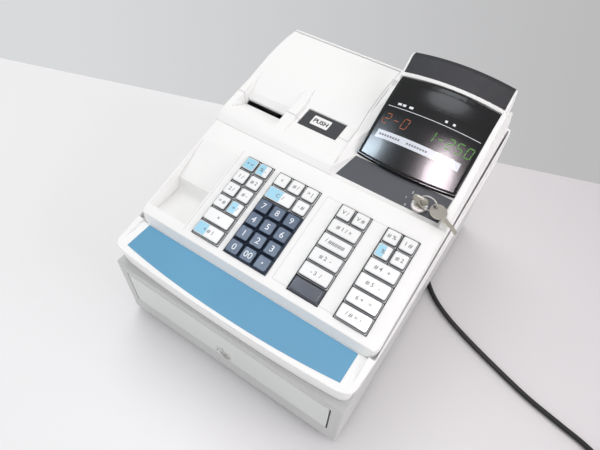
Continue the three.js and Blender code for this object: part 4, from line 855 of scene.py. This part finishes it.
# Rows of small parts: screws on the back and ribs on the cord relief
def rowTree():
    tree = bpy.data.node_groups.new("partRow", "GeometryNodeTree")
    for title, kind in (("Part", "Object"), ("Count", "Int"), ("Start", "Vector"), ("Step", "Vector"),
                        ("Shrink", "Float"), ("Twist", "Float"), ("Seed", "Int"), ("Finish", "Material")):
        tree.interface.new_socket(title, in_out="INPUT", socket_type="NodeSocket" + kind)
    tree.interface.new_socket("Geometry", in_out="OUTPUT", socket_type="NodeSocketGeometry")
    given = addNode(tree, "NodeGroupInput").outputs
    line = addNode(tree, "GeometryNodeMeshLine", {
        "Count": given["Count"], "Start Location": given["Start"], "Offset": given["Step"]})
    part = addNode(tree, "GeometryNodeObjectInfo", {"Object": given["Part"]})
    index = addNode(tree, "GeometryNodeInputIndex")
    less = addNode(tree, "ShaderNodeMath", {0: index.outputs[0], 1: given["Shrink"]}, operation="MULTIPLY")
    size = addNode(tree, "ShaderNodeMath", {0: 1, 1: less.outputs[0]}, operation="SUBTRACT")
    scale = addNode(tree, "ShaderNodeCombineXYZ", {0: size.outputs[0], 1: 1, 2: size.outputs[0]})
    back = addNode(tree, "ShaderNodeMath", {0: given["Twist"], 1: -1}, operation="MULTIPLY")
    chance = addNode(tree, "FunctionNodeRandomValue", {
        2: back.outputs[0], 3: given["Twist"], "ID": index.outputs[0], "Seed": given["Seed"]},
        data_type="FLOAT")
    spin = addNode(tree, "ShaderNodeCombineXYZ", {1: chance.outputs[1]})
    placed = addNode(tree, "GeometryNodeInstanceOnPoints", {
        "Points": line.outputs[0], "Instance": part.outputs["Geometry"], "Rotation": spin.outputs[0],
        "Scale": scale.outputs[0]})
    real = addNode(tree, "GeometryNodeRealizeInstances", {0: placed.outputs[0]})
    dressed = addNode(tree, "GeometryNodeSetMaterial", {
        "Geometry": real.outputs[0], "Material": given["Finish"]})
    addNode(tree, "NodeGroupOutput", {0: dressed.outputs[0]})
    return tree


rows = rowTree()
rear = {"y": 395, "case": (3, -146, 184, 146), "cabinet": (2, -138, 60, 276), "twist": 0.8, "seed": 7,
        "plate": (-118, -48, 138, 168, 2), "low": 0.03, "high": 0.35}  # screws: how many, from x, at z, apart
relief = {"ribs": 6, "start": (77, 400, 124), "step": 4.4, "shrink": 0.055}


def partRow(name, part, count, start, step, material, body, shrink=0.0, twist=0.0):
    holder = addObject("holder", bpy.data.meshes.new("holder"))
    change = holder.modifiers.new("row", "NODES")
    change.node_group = rows
    values = {"Part": part, "Count": count, "Start": tuple(start), "Step": step, "Shrink": shrink,
              "Twist": twist, "Seed": rear["seed"], "Finish": material}
    for item in rows.interface.items_tree:
        if item.in_out == "INPUT":
            change[item.identifier] = values[item.name]
    holder.update_tag()
    piece = addObject(name, plainMesh(holder))
    bpy.data.objects.remove(holder)
    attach(piece, body)


def turnedPart(name, profile, sides=32):
    # A closed profile [(radius, y)] turned about the y axis
    points = []
    for k in range(sides):
        turned = 2 * math.pi * k / sides
        points += [Vector((r * math.cos(turned), y, r * math.sin(turned))) * mm for r, y in profile]
    return pieceFrom(name, [(points, tubeFaces(len(profile), sides, True), 0)], [], None)


# Pan-head screw with a small hole as its dark recess, and one rib of the relief
screwEdge = [(0.5, -0.6), (3.1, -0.6), (3.1, 0.5), (2.6, 1.2), (1.5, 1.55), (1.1, 1.5), (0.5, 0.5)]
ribEdge = [(5.4, -0.8), (7.7, -0.6), (7.9, 0), (7.7, 0.6), (5.4, 0.8)]
screw, rib = turnedPart("screwPattern", screwEdge, 24), turnedPart("ribPattern", ribEdge)
for part in ("case", "cabinet"):
    count, x, z, step = rear[part]
    partRow(part + "_screws", screw, count, at(x, rear["y"], z), (step * mm, 0, 0), zincSteel, "register",
            twist=rear["twist"])
bare = plate(roundBox(*rear["plate"]), lambda u, w, n: at(u, rear["y"] + n, w), rear["low"], rear["high"])
pieceFrom("bare_plate", [bare], [plateFoil], "register")
partRow("relief_ribs", rib, relief["ribs"], at(*relief["start"]), (0, relief["step"] * mm, 0), plugPvc,
        "register", shrink=relief["shrink"])
for pattern in (screw, rib):
    bpy.data.objects.remove(pattern)
print("screws and ribs set")

# Table of pale laminate with its far edge; painted shade darkens it towards the right rear
desk = {"edge": [(-5.0, -0.9), (-0.7986, 0.0607), (0.2998, 0.4139), (5.0, 1.93), (6, -6), (-6, -6)],
        "pale": ("#f5f5f6", "#f1f0f2"), "shade": "#d0cccf", "towards": (0.83, 0.55, 0), "from": -0.15,
        "to": 0.5, "cloud": 1.6, "roughness": 0.55}
mesh = bpy.data.meshes.new("table")
mesh.from_pydata([(x, y, 0) for x, y in desk["edge"]], [], [list(range(len(desk["edge"])))[::-1]])
floor = addObject("table", mesh)
floorLook = bpy.data.materials.new("paleLaminateTable")
tree = emptyTree(floorLook)
place = addNode(tree, "ShaderNodeTexCoord").outputs["Object"]
soft = addNode(tree, "ShaderNodeTexNoise", {"Vector": place, "Scale": desk["cloud"], "Detail": 1})
across = addNode(tree, "ShaderNodeVectorMath", {0: place, 1: desk["towards"]}, operation="DOT_PRODUCT")
share = addNode(tree, "ShaderNodeMapRange", {0: across.outputs["Value"], 1: desk["from"], 2: desk["to"]})
pale = addNode(tree, "ShaderNodeMix", {
    0: soft.outputs["Fac"], 6: linear(desk["pale"][0]), 7: linear(desk["pale"][1])}, data_type="RGBA")
shade = addNode(tree, "ShaderNodeMix", {
    0: share.outputs[0], 6: pale.outputs[2], 7: linear(desk["shade"])}, data_type="RGBA")
laminate = addNode(tree, "ShaderNodeBsdfPrincipled", {
    "Base Color": shade.outputs[2], "Roughness": desk["roughness"]})
addNode(tree, "ShaderNodeOutputMaterial", {0: laminate.outputs[0]})
mesh.materials.append(floorLook)

# Room: a pale wall behind the table with painted shade that greys it to the right, and even daylight from all
# round
room = {"wall": ("#d9dadc", "#bcbcbd"), "from": -0.4, "to": 0.48, "daylight": "#f7f7f7", "strength": 0.73,
        "mirrored": 0.5}
world = bpy.data.worlds.new("room")
bpy.context.scene.world = world
tree = emptyTree(world)
paths = addNode(tree, "ShaderNodeLightPath")
ways = addNode(tree, "ShaderNodeTexCoord").outputs["Generated"]
sideWays = addNode(tree, "ShaderNodeVectorMath", {0: ways, 1: tuple(right)}, operation="DOT_PRODUCT")
share = addNode(tree, "ShaderNodeMapRange", {0: sideWays.outputs["Value"], 1: room["from"], 2: room["to"]})
wall = addNode(tree, "ShaderNodeMix", {
    0: share.outputs[0], 6: linear(room["wall"][0]), 7: linear(room["wall"][1])}, data_type="RGBA")
dimmer = addNode(tree, "ShaderNodeMapRange", {
    0: paths.outputs["Is Glossy Ray"], 3: room["strength"], 4: room["mirrored"]})
daylight = addNode(tree, "ShaderNodeBackground", {
    "Color": linear(room["daylight"]), "Strength": dimmer.outputs[0]})
backdrop = addNode(tree, "ShaderNodeBackground", {"Color": wall.outputs[2], "Strength": 1})
chosen = addNode(tree, "ShaderNodeMixShader", {
    0: paths.outputs["Is Camera Ray"], 1: daylight.outputs[0], 2: backdrop.outputs[0]})
addNode(tree, "ShaderNodeOutputWorld", {0: chosen.outputs[0]})


def seenIn(x, y):
    # Where a lamp stands to be mirrored to the camera by the window at x, y
    spot, normal = onWindow(x, y, 0), sheetNormal(x, y)
    ray = (spot - Vector(view["place"])).normalized()
    return tuple(spot + (ray - normal * 2 * ray.dot(normal)) * mirrorFar)


# Soft lamps behind on the left, on the right and low in front; the window alone mirrors the other three
mirrorFar = 1.1
lamps = {
    "key": {"place": (-0.95, 0.75, 2.3), "aim": (0, 0, 0.15), "size": 1.6, "power": 17.5, "tint": "#fffefd",
            "unmirrored": True},
    "fill": {"place": (1.7, 0.1, 0.9), "aim": (0, 0, 0.1), "size": 1.2, "power": 11, "tint": "#fff7f8"},
    "front": {"place": (-0.9, -2.0, 0.7), "aim": (-0.05, -0.2, 0.05), "size": 1.8, "power": 4.5,
              "tint": "#fcfeff", "unmirrored": True},
    "pane": {"seen": (118, 249), "size": 0.2, "power": 3.9, "tint": "#fff1f8"},
    "band": {"seen": (88, 324), "size": 0.34, "power": 0.8, "tint": "#f6f8ff"},
    "slot": {"seen": (31, 240), "size": 0.16, "power": 2.0, "tint": "#dff1ff"},
}
for name, lamp in lamps.items():
    if "seen" in lamp:
        place, aim = seenIn(*lamp["seen"]), onWindow(*lamp["seen"], 0)
    else:
        place, aim = lamp["place"], Vector(lamp["aim"])
    glow = bpy.data.lights.new(name, "AREA")
    glow.shape = "DISK"
    glow.size = lamp["size"]
    glow.energy = lamp["power"]
    glow.color = linear(lamp["tint"])[:3]
    light = addObject(name, glow)
    light.visible_diffuse = "seen" not in lamp
    light.visible_glossy = "unmirrored" not in lamp
    turn = (aim - Vector(place)).to_track_quat("-Z", "Y").to_matrix().to_4x4()
    light.matrix_world = Matrix.Translation(place) @ turn
bpy.context.scene.view_settings.view_transform = "Standard"
print("table and light set")
